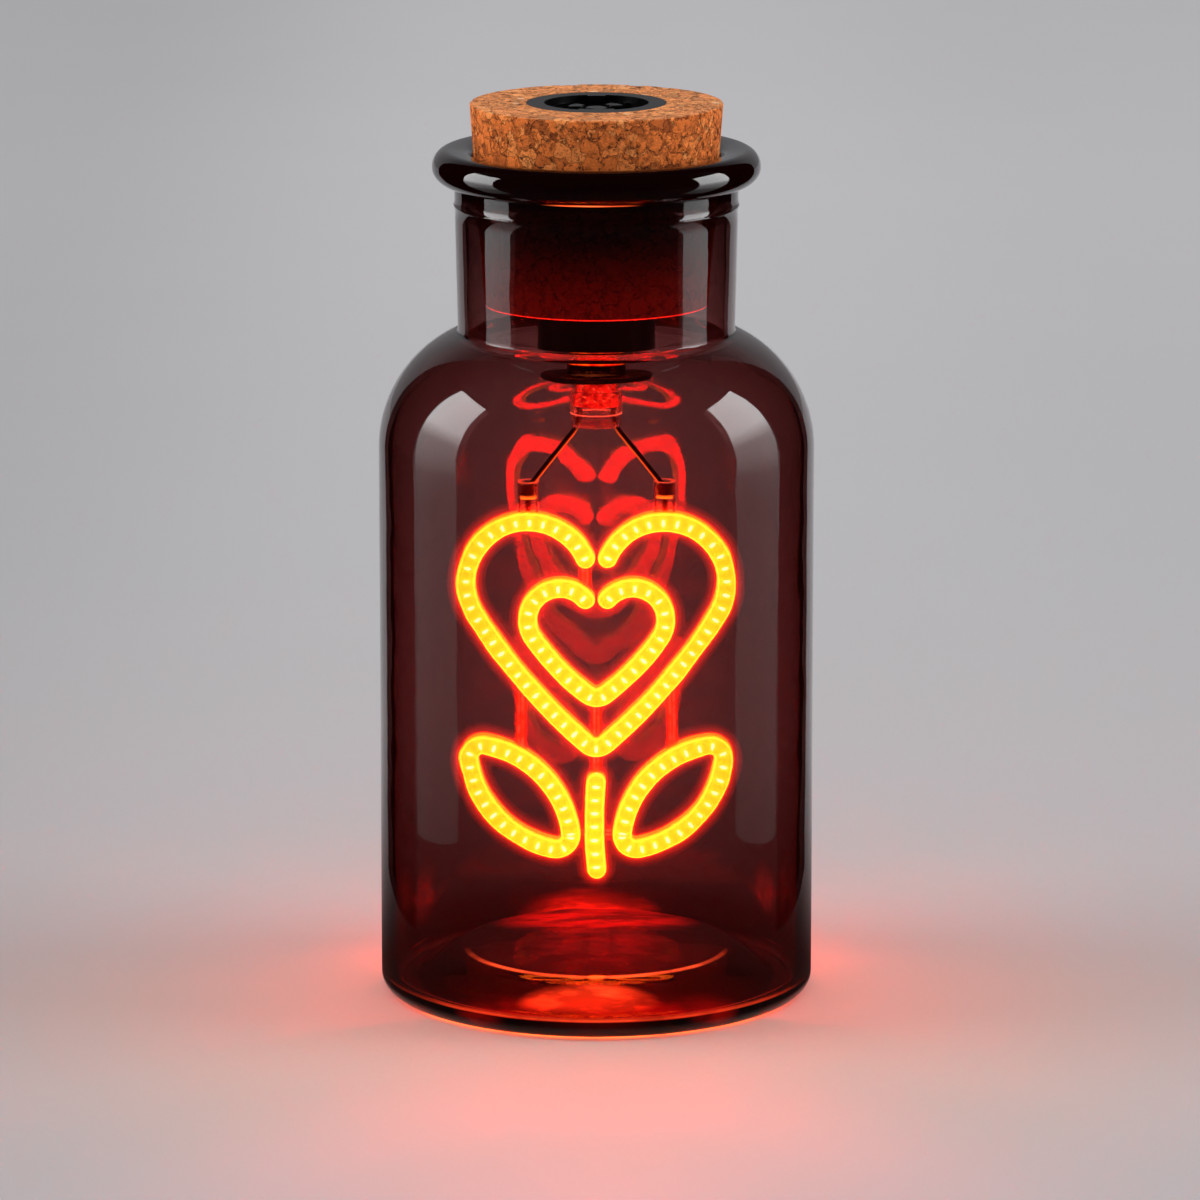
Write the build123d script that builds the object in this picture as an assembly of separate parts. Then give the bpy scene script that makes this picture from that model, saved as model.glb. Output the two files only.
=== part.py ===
from build123d import *
import math
import os

os.makedirs("parts", exist_ok=True)

# Apothecary bottle light: a tinted glass bottle closed by a bored cork. The cork carries a
# battery module, and a luminous tube sign hangs from the module inside the bottle.
# Millimetres. Z is up, the origin is the centre of the foot ring, and the front faces -Y.

# Fits and cuts
seat_clearance = 0.10
thin_clearance = 0.05
overrun = 2.0

# Bottle base
body_diameter = 110.0
glass_wall = 3.6
heel_radius = 4.3
foot_ring_width = 6.7
foot_edge_radius = 1.2
floor_glass = 3.6
floor_corner_radius = 3.2
punt_slope_run = 10.0
punt_rise = 7.4
punt_crown = 1.6
punt_glass = 3.8
punt_edge_radius = 2.4

# Bottle shoulder, neck and mouth
shoulder_radius = 32.3
neck_root_radius = 1.6
neck_height = 37.0
neck_wall_root = 2.7
neck_wall_top = 3.5
neck_relief = 1.4
neck_inner_root_radius = 4.0
throat_diameter = 61.6
throat_drop = 2.9
throat_length = 5.0
throat_flare = 4.5
flange_height = 9.0
flange_reach = 5.55
lip_width = 6.5
lip_edge_radius = 0.9
lip_slope = 0.6
neck_bead_drop = 5.0
neck_bead_height = 0.8
neck_bead_proud = 0.3

# Cork
cork_height = 50.4
cork_proud = 11.6
cork_taper = 0.0714
cork_fit = 0.08
cork_edge_radius = 0.5

# AAA cells and their carrier
cell_count = 3
first_cell_angle = 90.0
cell_diameter = 10.5
cell_length = 44.5
cell_nub_diameter = 3.8
cell_nub_height = 0.8
cell_edge_radius = 0.5
cell_gap = 0.4
carrier_margin = 0.45
carrier_disc = 1.2
carrier_post_diameter = 2.8
contact_thickness = 0.3
contact_diameter = 7.2
cell_spring_height = 1.4
cell_spring_diameter = 6.1
cell_spring_wire = 0.5
cell_spring_turns = 1.6
rivet_head_diameter = 6.0
rivet_diameter = 3.0
rivet_head = 0.35

# Battery housing
strip_space = 1.1
housing_wall = 1.6
ring_lip = 2.8
ring_thickness = 1.6
tab_thickness = 1.5
tab_reach = 1.6
rear_tab_width = 4.5
front_tab_width = 8.8
front_tab_angle = 270.0
rear_tab_angle = 90.0
contact_strip_width = 3.0
contact_strip_foot = 2.6
contact_strip_angle = 0.0

# Battery cap with its grip, switch and button
well_depth = 6.2
cap_floor = 2.0
cap_wall = 1.2
cap_clearance = 0.2
cap_play = 0.1
cap_gap = 0.6
cap_unlock_angle = 50.0
lug_count = 3
lug_angle = 278.0
lug_spread = 48.0
lug_width = 3.4
lug_drop = 1.0
lug_edge = 0.35
button_drop = 1.2
button_head_diameter = 5.6
button_flange_diameter = 6.6
button_flange_thickness = 0.55
button_travel = 0.8
button_edge_radius = 0.5
button_stem_diameter = 2.0
button_clearance = 0.15
collar_wall = 0.45
collar_lip = 0.6
switch_height = 2.6
button_spring_diameter = 4.6
button_spring_wire = 0.3
button_spring_turns = 3.0
cap_plate_diameter = 9.8
cap_ring_inner_diameter = 19.2
cap_ring_outer_diameter = 22.2
cap_recess = 0.4

# End cap, driver board and lamp socket
end_cap_floor = 1.6
end_cap_rim = 1.9
end_cap_edge_radius = 1.5
end_cap_spigot_wall = 0.95
end_cap_spigot_height = 4.8
end_cap_step = 1.1
board_cavity = 1.6
board_thickness = 1.0
board_gap = 0.8
chip_width = 4.4
chip_depth = 3.0
chip_height = 1.2
capacitor_length = 3.2
capacitor_width = 1.6
capacitor_height = 1.1
resistor_length = 1.6
resistor_width = 0.8
resistor_height = 0.6
board_part_ring_diameter = 18.0
chip_angle = 90.0
capacitor_angle = 200.0
resistor_angles = (310.0, 340.0)
socket_flange_diameter = 27.8
socket_flange_thickness = 1.5
socket_flange_edge = 0.5
socket_neck_diameter = 14.8
socket_neck_length = 5.2
socket_spigot_diameter = 10.0
socket_bore_diameter = 7.2
socket_pocket_depth = 3.5
nut_thickness = 1.2
nut_across_flats = 13.0

# Clear stub below the socket
stub_upper_diameter = 11.8
stub_upper_drop = 3.3
stub_lower_diameter = 13.2
stub_length = 9.4
stub_wall = 0.9
stub_edge_radius = 0.4
resin_recess = 2.1
stub_collar_diameter = 12.6
stub_collar_height = 3.5
stub_collar_wall = 1.0
stub_collar_floor = 0.8

# Leads and the sleeves where they enter the sign
lead_diameter = 1.4
lead_board_spacing = 4.8
lead_stub_spacing = 8.6
lead_drop = 14.6
lead_upper_radius = 8.0
lead_exit_radius = 9.0
lead_entry_radius = 4.5
sleeve_diameter = 5.6
sleeve_wall = 0.7
sleeve_height = 7.3
plug_height = 3.4
plug_drop = 0.6

# Sign
sign_floor_gap = 16.0
sign_height = 95.5
tube_width = 5.0
tube_front = 4.2
tube_back = 1.8
tube_back_radius = 0.6
tube_bend_radius = 3.6
tube_end_gap = 0.6
channel_width = 3.4
channel_depth = 2.2
led_strip_width = 2.8
led_strip_thickness = 0.5
led_pitch = 3.5
led_width = 1.8
led_length = 1.4
led_height = 0.7
led_end_margin = 1.5
link_diameter = 3.2
link_wall = 0.45
link_wire_diameter = 0.7
link_wire_spacing = 1.0
leaf_width = 16.0
leaf_gap = 1.5
stem_bow = 0.5

# Share of the sign's height that sets its width, and shares of both that place its motif
sign_width_share = 0.7435
heart_lobe_share = 0.477
heart_bottom_share = 0.361
heart_side_share = 3.4
inner_width_share = 0.532
inner_top_share = 0.795
inner_bottom_share = 0.497
stem_top_share = 0.266
leaf_base_share = 0.12
leaf_tip_share = 0.33
leaf_reach_share = 0.985
side_link_share = 0.585

# Radii worked out from the driving sizes
body_r = body_diameter / 2
body_inner_r = body_r - glass_wall
foot_outer_r = body_r - heel_radius
foot_inner_r = foot_outer_r - foot_ring_width
throat_r = throat_diameter / 2
neck_bore_r = throat_r + neck_relief
neck_root_r = neck_bore_r + neck_wall_root
neck_top_r = neck_bore_r + neck_wall_top
flange_r = neck_top_r + flange_reach
crest_r = throat_r + lip_width
shoulder_x = body_r - shoulder_radius
neck_angle = math.acos((neck_root_r - shoulder_x) / shoulder_radius)
shoulder_rise = shoulder_radius * math.sin(neck_angle)
inner_shoulder_radius = shoulder_radius - glass_wall
inner_neck_angle = math.acos((neck_bore_r - shoulder_x) / inner_shoulder_radius)
inner_shoulder_rise = inner_shoulder_radius * math.sin(inner_neck_angle)

cell_r = cell_diameter / 2
cell_circle_r = (cell_diameter + cell_gap) / (2 * math.sin(math.pi / cell_count))
carrier_r = cell_circle_r + cell_r + carrier_margin
housing_inner_r = carrier_r + strip_space
housing_r = housing_inner_r + housing_wall
ring_r = housing_r + ring_lip
cap_r = housing_inner_r - cap_clearance
button_bore_r = button_flange_diameter / 2 + button_clearance
collar_r = button_bore_r + collar_wall
board_r = housing_inner_r - seat_clearance - end_cap_spigot_wall - thin_clearance
lead_r = lead_diameter / 2
tube_half = tube_width / 2
sign_width = sign_height * sign_width_share
sign_half = sign_width / 2 - tube_half

# Heights, from the foot ring upwards
floor_crown_z = floor_glass + punt_rise + punt_crown
sign_bottom_z = floor_crown_z + sign_floor_gap
sign_top_z = sign_bottom_z + sign_height
sleeve_top_z = sign_top_z + sleeve_height
stub_bottom_z = sleeve_top_z + lead_drop
stub_collar_top_z = stub_bottom_z + stub_collar_height
socket_bottom_z = stub_collar_top_z + stub_length
socket_neck_z = socket_bottom_z + socket_flange_thickness
module_bottom_z = socket_neck_z + socket_neck_length
board_z = module_bottom_z + end_cap_floor + board_cavity
carrier_bottom_z = board_z + board_thickness + board_gap
cell_space_z = carrier_bottom_z + carrier_disc
cell_space_top_z = cell_space_z + cell_spring_height + cell_length + contact_thickness
carrier_top_z = cell_space_top_z + carrier_disc
cap_bottom_z = carrier_top_z + cap_gap
cap_floor_z = cap_bottom_z + cap_floor
top_z = cap_floor_z + well_depth
mouth_z = top_z - cork_proud
flange_bottom_z = mouth_z - flange_height
flange_middle_z = mouth_z - flange_height / 2
neck_root_z = flange_bottom_z - neck_height
shoulder_z = neck_root_z - shoulder_rise
cork_bottom_z = top_z - cork_height
throat_z = mouth_z - throat_drop
cap_rim_z = top_z - tab_thickness - cap_play
button_top_z = top_z - button_drop
collar_top_z = button_top_z - button_travel + button_clearance
collar_lip_z = collar_top_z - collar_lip
button_flange_z = collar_lip_z - button_clearance / 2 - button_flange_thickness
switch_top_z = cap_bottom_z + switch_height


def cork_radius(z):
    """Radius of the cork at a height: it is a running fit in the throat and tapers downwards."""
    return throat_r - cork_fit + cork_taper * (z - throat_z)


def polar(radius, degrees):
    """Point in the XY plane."""
    angle = math.radians(degrees)
    return radius * math.cos(angle), radius * math.sin(angle)


def revolved(points):
    """Solid of revolution about Z from straight runs between (radius, height) points."""
    outline = make_face(Polyline(*points, close=True))
    return revolve(Plane.XZ * outline, Axis.Z)


def tube_ring(outer_r, inner_r, low_z, high_z):
    """Plain ring between two heights."""
    return revolved([(inner_r, low_z), (outer_r, low_z), (outer_r, high_z), (inner_r, high_z)])


def disc(radius, low_z, high_z):
    """Plain upright cylinder between two heights."""
    return Pos(0, 0, low_z) * Cylinder(radius, high_z - low_z, align=(Align.CENTER, Align.CENTER, Align.MIN))


def save(shape, name):
    """Write one sub-part."""
    export_step(shape, "parts/" + name + ".step")


# Bottle: one body of glass, turned from its wall section

def rounded(corners):
    """Round vertices of the open sketch, each given as its place and its radius."""
    for place, radius in corners:
        corner = vertices().sort_by_distance(place)[0]
        fillet(corner, radius=radius)


def dome(centre_z, edge_r, crown):
    """Centre and radius of a shallow dome that rises by its crown over its edge radius."""
    radius = (edge_r ** 2 + crown ** 2) / (2 * crown)
    return centre_z + crown - radius, radius


def make_bottle():
    punt_r = foot_inner_r + foot_ring_width / 4 - punt_slope_run
    punt_z = floor_glass + punt_rise
    under_r = punt_r - punt_glass / 2
    under_z = punt_z - punt_glass
    slope_r = punt_r + punt_slope_run
    crown_c, crown_radius = dome(punt_z, punt_r, punt_crown)
    under_c, under_radius = dome(under_z, under_r, punt_crown)
    bead_z = flange_bottom_z - neck_bead_drop
    bead_r = neck_root_r + (neck_top_r - neck_root_r) * (bead_z - neck_root_z) / neck_height
    bead_half = neck_bead_height / 2
    throat_low_z = throat_z - throat_length
    mouth_r = throat_r + lip_edge_radius
    with BuildSketch(Plane.XZ) as section:
        with BuildLine():
            Line((0, under_z + punt_crown), (0, punt_z + punt_crown))
            start = math.degrees(math.asin((under_z - under_c) / under_radius))
            CenterArc((0, under_c), under_radius, start, 90 - start)
            Line((under_r, under_z), (foot_inner_r, 0))
            Line((foot_inner_r, 0), (foot_outer_r, 0))
            CenterArc((foot_outer_r, heel_radius), heel_radius, -90, 90)
            Line((body_r, heel_radius), (body_r, shoulder_z))
            CenterArc((shoulder_x, shoulder_z), shoulder_radius, 0, math.degrees(neck_angle))
            Line((neck_root_r, neck_root_z), (bead_r, bead_z - bead_half))
            ThreePointArc(
                (bead_r, bead_z - bead_half),
                (bead_r + neck_bead_proud, bead_z),
                (bead_r, bead_z + bead_half),
            )
            Line((bead_r, bead_z + bead_half), (neck_top_r, flange_bottom_z))
            half_flange = flange_height / 2
            below = (neck_top_r, flange_middle_z)
            above = (crest_r, flange_middle_z)
            EllipticalCenterArc(below, flange_r - neck_top_r, half_flange, -90, arc_size=90)
            EllipticalCenterArc(above, flange_r - crest_r, half_flange, 0, arc_size=90)
            Line((crest_r, mouth_z), (mouth_r, mouth_z - lip_slope))
            Line((mouth_r, mouth_z - lip_slope), (throat_r, throat_z))
            Line((throat_r, throat_z), (throat_r, throat_low_z))
            Line((throat_r, throat_low_z), (neck_bore_r, throat_low_z - throat_flare))
            inner_root_z = shoulder_z + inner_shoulder_rise
            Line((neck_bore_r, throat_low_z - throat_flare), (neck_bore_r, inner_root_z))
            CenterArc((shoulder_x, shoulder_z), inner_shoulder_radius, 0, math.degrees(inner_neck_angle))
            Line((body_inner_r, shoulder_z), (body_inner_r, floor_glass))
            Line((body_inner_r, floor_glass), (slope_r, floor_glass))
            Line((slope_r, floor_glass), (punt_r, punt_z))
            start = math.degrees(math.asin((punt_z - crown_c) / crown_radius))
            CenterArc((0, crown_c), crown_radius, start, 90 - start)
        make_face()
        rounded([
            ((under_r, under_z), punt_edge_radius),
            ((foot_inner_r, 0), foot_edge_radius),
            ((neck_root_r, neck_root_z), neck_root_radius),
            ((mouth_r, mouth_z - lip_slope), lip_edge_radius),
            ((neck_bore_r, inner_root_z), neck_inner_root_radius),
            ((body_inner_r, floor_glass), floor_corner_radius),
            ((slope_r, floor_glass), punt_edge_radius),
            ((punt_r, punt_z), punt_edge_radius),
        ])
    return revolve(section.sketch, Axis.Z)


# Stopper: the cork and the black battery housing pressed into its bore

def make_cork():
    bore_r = housing_r + seat_clearance
    counterbore_r = ring_r + seat_clearance
    ledge_z = top_z - ring_thickness - thin_clearance
    body = revolved([
        (bore_r, cork_bottom_z),
        (cork_radius(cork_bottom_z), cork_bottom_z),
        (cork_radius(top_z), top_z),
        (counterbore_r, top_z),
        (counterbore_r, ledge_z),
        (bore_r, ledge_z),
    ])
    rims = body.edges().filter_by(GeomType.CIRCLE)
    outer = [rims.sort_by(SortBy.RADIUS)[-1]]
    outer += rims.filter_by(lambda rim: abs(rim.radius - cork_radius(cork_bottom_z)) < thin_clearance)
    return fillet(outer, cork_edge_radius)


def bayonet_block(width, degrees, inner_r, outer_r, low_z, high_z):
    """Part of a ring as wide as a bayonet tab, at an angle about Z."""
    middle = (inner_r + outer_r) / 2
    reach = outer_r - inner_r + 2 * overrun
    slab = Pos(middle, 0, (low_z + high_z) / 2) * Box(reach, width, high_z - low_z + 2 * overrun)
    return tube_ring(outer_r, inner_r, low_z, high_z) & (Rot(0, 0, degrees) * slab)


def make_housing():
    tube_low_z = module_bottom_z + end_cap_rim
    body = revolved([
        (housing_inner_r, tube_low_z),
        (housing_r, tube_low_z),
        (housing_r, top_z - ring_thickness),
        (ring_r, top_z - ring_thickness),
        (ring_r, top_z),
        (housing_inner_r, top_z),
    ])
    tab_low_z = top_z - tab_thickness
    inner_r = housing_inner_r - tab_reach
    outer_r = housing_inner_r + housing_wall / 2
    rear = bayonet_block(rear_tab_width, rear_tab_angle, inner_r, outer_r, tab_low_z, top_z)
    front = bayonet_block(front_tab_width, front_tab_angle, inner_r, outer_r, tab_low_z, top_z)
    return body + rear + front


def make_contact_strip():
    """Brass strip that runs down the housing wall and turns in at both ends."""
    outer_r = housing_inner_r - thin_clearance
    inner_r = outer_r - contact_thickness
    low_z = board_z + board_thickness
    high_z = cap_bottom_z - cap_gap / 2
    upright = tube_ring(outer_r, inner_r, low_z, high_z)
    foot = tube_ring(outer_r, outer_r - contact_strip_foot, low_z, low_z + contact_thickness)
    finger = tube_ring(outer_r, outer_r - contact_strip_foot, high_z - contact_thickness, high_z)
    slab_z = (low_z + high_z) / 2
    slab = Pos(outer_r, 0, slab_z) * Box(2 * contact_strip_foot, contact_strip_width, high_z - low_z + overrun)
    return (upright + foot + finger) & (Rot(0, 0, contact_strip_angle) * slab)


def make_end_cap():
    spigot_r = housing_inner_r - seat_clearance
    spigot_inner_r = spigot_r - end_cap_spigot_wall
    rim_z = module_bottom_z + end_cap_rim
    floor_z = module_bottom_z + end_cap_floor
    hole_r = socket_spigot_diameter / 2 + thin_clearance
    body = revolved([
        (hole_r, module_bottom_z),
        (housing_r, module_bottom_z),
        (housing_r, rim_z),
        (spigot_r, rim_z),
        (spigot_r, floor_z + end_cap_spigot_height),
        (spigot_inner_r, floor_z + end_cap_spigot_height),
        (spigot_inner_r, board_z),
        (spigot_inner_r - end_cap_step, board_z),
        (spigot_inner_r - end_cap_step, floor_z),
        (hole_r, floor_z),
    ])
    bottom_rim = body.edges().filter_by(GeomType.CIRCLE).group_by(Axis.Z)[0].sort_by(SortBy.RADIUS)[-1]
    body = fillet(bottom_rim, end_cap_edge_radius)
    slot_low_z = board_z + board_thickness
    slot_height = end_cap_spigot_height + overrun
    slot_width = contact_strip_width + 2 * cap_clearance
    slot = Pos(spigot_r, 0, slot_low_z + slot_height / 2) * Box(2 * overrun, slot_width, slot_height)
    return body - Rot(0, 0, contact_strip_angle) * slot


# Battery cap: a bayonet cup with three finger lugs round the power button

def make_battery_cap():
    inner_r = cap_r - cap_wall
    cup = revolved([
        (button_bore_r, cap_bottom_z),
        (cap_r, cap_bottom_z),
        (cap_r, cap_rim_z),
        (inner_r, cap_rim_z),
        (inner_r, cap_floor_z),
        (collar_r, cap_floor_z),
        (collar_r, collar_top_z),
        (button_head_diameter / 2 + button_clearance, collar_top_z),
        (button_head_diameter / 2 + button_clearance, collar_lip_z),
        (button_bore_r, collar_lip_z),
    ])
    lug_top_z = top_z - lug_drop
    for step in range(lug_count):
        turn = lug_angle + step * 360 / lug_count
        lug = lug_block(turn, lug_top_z)
        cup = cup + lug
    groove_r = cap_r - tab_reach
    for width, angle in ((rear_tab_width, rear_tab_angle), (front_tab_width, front_tab_angle)):
        groove_width = width + 2 * cap_clearance
        cup = cup - bayonet_block(
            groove_width, angle - cap_unlock_angle, groove_r, cap_r + overrun,
            cap_bottom_z - overrun, cap_rim_z + overrun,
        )
    plate_recess = disc(cap_plate_diameter / 2 + thin_clearance, cap_bottom_z - overrun, cap_bottom_z + cap_recess)
    ring_recess = tube_ring(
        cap_ring_outer_diameter / 2 + thin_clearance, cap_ring_inner_diameter / 2 - thin_clearance,
        cap_bottom_z - overrun, cap_bottom_z + cap_recess,
    )
    return cup - plate_recess - ring_recess


def lug_block(degrees, lug_top_z):
    """One finger lug: a short arc of a thick ring with eased top edges."""
    half = math.radians(lug_spread / 2)
    inner_r = collar_r - collar_wall / 2
    outer_r = collar_r + lug_width
    with BuildSketch() as outline:
        with BuildLine():
            corners = [(r * math.cos(a), r * math.sin(a)) for r, a in (
                (inner_r, -half), (outer_r, -half), (outer_r, half), (inner_r, half),
            )]
            Line(corners[0], corners[1])
            ThreePointArc(corners[1], (outer_r, 0), corners[2])
            Line(corners[2], corners[3])
            ThreePointArc(corners[3], (inner_r, 0), corners[0])
        make_face()
    base_z = cap_floor_z - cap_floor / 4
    block = extrude(outline.sketch, lug_top_z - base_z)
    top_edges = block.faces().sort_by(Axis.Z)[-1].edges()
    return Pos(0, 0, base_z) * Rot(0, 0, degrees) * chamfer(top_edges, lug_edge)


def make_power_button():
    head_r = button_head_diameter / 2
    flange_outer_r = button_flange_diameter / 2
    stem_r = button_stem_diameter / 2
    stem_low_z = switch_top_z + button_travel + button_clearance
    flange_top_z = button_flange_z + button_flange_thickness
    body = revolved([
        (0, stem_low_z),
        (stem_r, stem_low_z),
        (stem_r, button_flange_z),
        (flange_outer_r, button_flange_z),
        (flange_outer_r, flange_top_z),
        (head_r, flange_top_z),
        (head_r, button_top_z),
        (0, button_top_z),
    ])
    rim = body.edges().filter_by(GeomType.CIRCLE).group_by(Axis.Z)[-1]
    return fillet(rim, button_edge_radius)


def coil(low_z, high_z, mean_diameter, wire_diameter, turns):
    """Open round-wire spring that just fills the space between two heights."""
    height = high_z - low_z - wire_diameter
    path = Helix(height / turns, height, mean_diameter / 2, center=(0, 0, low_z + wire_diameter / 2))
    section = Plane(origin=path @ 0, z_dir=path % 0) * Circle(wire_diameter / 2)
    return sweep(section, path=path, is_frenet=True)


def make_button_spring():
    return coil(
        switch_top_z, button_flange_z, button_spring_diameter, button_spring_wire, button_spring_turns
    )


def make_switch_body():
    return disc(button_bore_r - seat_clearance, cap_bottom_z + cap_recess, switch_top_z)


def make_cap_contact_plate():
    low_z = cap_bottom_z + cap_recess - contact_thickness
    return disc(cap_plate_diameter / 2, low_z, cap_bottom_z + cap_recess)


def make_cap_contact_ring():
    low_z = cap_bottom_z + cap_recess - contact_thickness
    return tube_ring(cap_ring_outer_diameter / 2, cap_ring_inner_diameter / 2, low_z, cap_bottom_z + cap_recess)


# Battery carrier: two discs on three posts, with the cells between them

def cell_angle(index):
    return first_cell_angle + index * 360 / cell_count


def cell_is_flipped(index):
    """Neighbouring cells stand head to tail."""
    return index % 2 == 1


def make_carrier():
    post_r = carrier_post_diameter / 2
    post_circle_r = carrier_r - post_r - seat_clearance
    body = disc(carrier_r, carrier_bottom_z, cell_space_z) + disc(carrier_r, cell_space_top_z, carrier_top_z)
    for index in range(cell_count):
        x, y = polar(post_circle_r, cell_angle(index) + 180 / cell_count)
        body = body + Pos(x, y, 0) * disc(post_r, carrier_bottom_z, carrier_top_z)
    hole_r = rivet_diameter / 2 + thin_clearance
    return body - disc(hole_r, carrier_bottom_z - overrun, carrier_top_z + overrun)


def make_carrier_contacts():
    """Riveted contacts in the middle of both discs."""
    head_r = rivet_head_diameter / 2
    shank_r = rivet_diameter / 2
    low = revolved([
        (0, carrier_bottom_z - rivet_head),
        (head_r, carrier_bottom_z - rivet_head),
        (head_r, carrier_bottom_z),
        (shank_r, carrier_bottom_z),
        (shank_r, cell_space_z + contact_thickness),
        (0, cell_space_z + contact_thickness),
    ])
    high = revolved([
        (0, cell_space_top_z - contact_thickness),
        (shank_r, cell_space_top_z - contact_thickness),
        (shank_r, carrier_top_z),
        (head_r, carrier_top_z),
        (head_r, carrier_top_z + rivet_head),
        (0, carrier_top_z + rivet_head),
    ])
    return Compound(children=[low, high])


def make_cell(index):
    """One AAA cell: a rolled can with a raised nub at its positive end."""
    can_length = cell_length - cell_nub_height
    nub_r = cell_nub_diameter / 2
    body = revolved([
        (0, 0),
        (cell_r, 0),
        (cell_r, can_length),
        (nub_r, can_length),
        (nub_r, cell_length),
        (0, cell_length),
    ])
    rims = body.edges().filter_by(GeomType.CIRCLE).filter_by(lambda rim: rim.radius > (cell_r + nub_r) / 2)
    body = fillet(rims, cell_edge_radius)
    x, y = polar(cell_circle_r, cell_angle(index))
    if cell_is_flipped(index):
        return Pos(x, y, cell_space_z + contact_thickness + cell_length) * Rot(180, 0, 0) * body
    return Pos(x, y, cell_space_z + cell_spring_height) * body


def make_cell_springs():
    springs = []
    for index in range(cell_count):
        x, y = polar(cell_circle_r, cell_angle(index))
        low_z = cell_space_z
        if cell_is_flipped(index):
            low_z = cell_space_top_z - cell_spring_height
        spring = coil(
            low_z, low_z + cell_spring_height, cell_spring_diameter, cell_spring_wire, cell_spring_turns
        )
        springs.append(Pos(x, y, 0) * spring)
    return Compound(children=springs)


def make_cell_contacts():
    plates = []
    for index in range(cell_count):
        x, y = polar(cell_circle_r, cell_angle(index))
        low_z = cell_space_top_z - contact_thickness
        if cell_is_flipped(index):
            low_z = cell_space_z
        plates.append(Pos(x, y, 0) * disc(contact_diameter / 2, low_z, low_z + contact_thickness))
    return Compound(children=plates)


# Driver board on the step of the end cap

def make_driver_board():
    hole_r = lead_r
    body = disc(board_r, board_z, board_z + board_thickness)
    for side in (-1, 1):
        x = side * lead_board_spacing / 2
        body = body - Pos(x, 0, 0) * disc(hole_r, board_z - overrun, board_z + board_thickness + overrun)
    return body


def board_block(length, width, height, degrees):
    """Component hanging under the board, on the ring between the nut and the step."""
    block = Pos(0, 0, board_z - height / 2) * Box(width, length, height)
    return Rot(0, 0, degrees) * Pos(board_part_ring_diameter / 2, 0, 0) * block


def make_driver_chip():
    return board_block(chip_width, chip_depth, chip_height, chip_angle)


def make_board_components():
    capacitor = board_block(capacitor_length, capacitor_width, capacitor_height, capacitor_angle)
    resistors = [
        board_block(resistor_length, resistor_width, resistor_height, degrees) for degrees in resistor_angles
    ]
    return Compound(children=[capacitor] + resistors)


def make_board_contact():
    """Pressed brass dome that the carrier stands on."""
    low_z = board_z + board_thickness
    high_z = carrier_bottom_z - rivet_head
    return revolved([
        (0, low_z),
        (rivet_head_diameter / 2, low_z),
        (rivet_head_diameter / 2, low_z + contact_thickness),
        (rivet_diameter / 2, high_z),
        (0, high_z),
    ])


# Lamp socket: a flanged neck screwed under the end cap

def make_socket():
    neck_r = socket_neck_diameter / 2
    flange_outer_r = socket_flange_diameter / 2
    spigot_r = socket_spigot_diameter / 2
    bore_r = socket_bore_diameter / 2
    pocket_r = stub_upper_diameter / 2 + thin_clearance
    spigot_top_z = module_bottom_z + end_cap_floor + nut_thickness
    pocket_z = socket_bottom_z + socket_pocket_depth
    body = revolved([
        (pocket_r, socket_bottom_z),
        (flange_outer_r, socket_bottom_z),
        (flange_outer_r, socket_neck_z),
        (neck_r, socket_neck_z),
        (neck_r, module_bottom_z),
        (spigot_r, module_bottom_z),
        (spigot_r, spigot_top_z),
        (bore_r, spigot_top_z),
        (bore_r, pocket_z),
        (pocket_r, pocket_z),
    ])
    rims = body.edges().filter_by(GeomType.CIRCLE)
    outer = rims.filter_by(lambda rim: abs(rim.radius - flange_outer_r) < thin_clearance)
    return fillet(outer, socket_flange_edge)


def make_socket_nut():
    low_z = module_bottom_z + end_cap_floor
    hexagon = RegularPolygon(nut_across_flats / 2, 6, major_radius=False)
    nut = extrude(Pos(0, 0, low_z) * hexagon, nut_thickness)
    return nut - disc(socket_spigot_diameter / 2 + thin_clearance, low_z - overrun, top_z)


# Stub: a stepped clear sleeve filled with resin, closed by a clear collar

def make_stub_sleeve():
    upper_r = stub_upper_diameter / 2
    lower_r = stub_lower_diameter / 2
    step_z = socket_bottom_z - stub_upper_drop
    inner_step_z = step_z - stub_wall
    top = socket_bottom_z + socket_pocket_depth - thin_clearance
    body = revolved([
        (lower_r - stub_wall, stub_collar_top_z),
        (lower_r, stub_collar_top_z),
        (lower_r, step_z),
        (upper_r, step_z),
        (upper_r, top),
        (upper_r - stub_wall, top),
        (upper_r - stub_wall, inner_step_z),
        (lower_r - stub_wall, inner_step_z),
    ])
    rims = body.edges().filter_by(GeomType.CIRCLE)
    step_rim = rims.filter_by(lambda rim: abs(rim.radius - lower_r) < thin_clearance).sort_by(Axis.Z)[-1]
    return fillet(step_rim, stub_edge_radius)


def make_stub_resin():
    upper_r = stub_upper_diameter / 2 - stub_wall - thin_clearance
    lower_r = stub_lower_diameter / 2 - stub_wall - thin_clearance
    step_z = socket_bottom_z - stub_upper_drop - stub_wall - thin_clearance
    top = socket_bottom_z + socket_pocket_depth - thin_clearance
    low_z = stub_collar_top_z + resin_recess
    body = revolved([
        (0, low_z),
        (lower_r, low_z),
        (lower_r, step_z),
        (upper_r, step_z),
        (upper_r, top),
        (0, top),
    ])
    return body - lead_tube(-1, lead_r + thin_clearance) - lead_tube(1, lead_r + thin_clearance)


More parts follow.
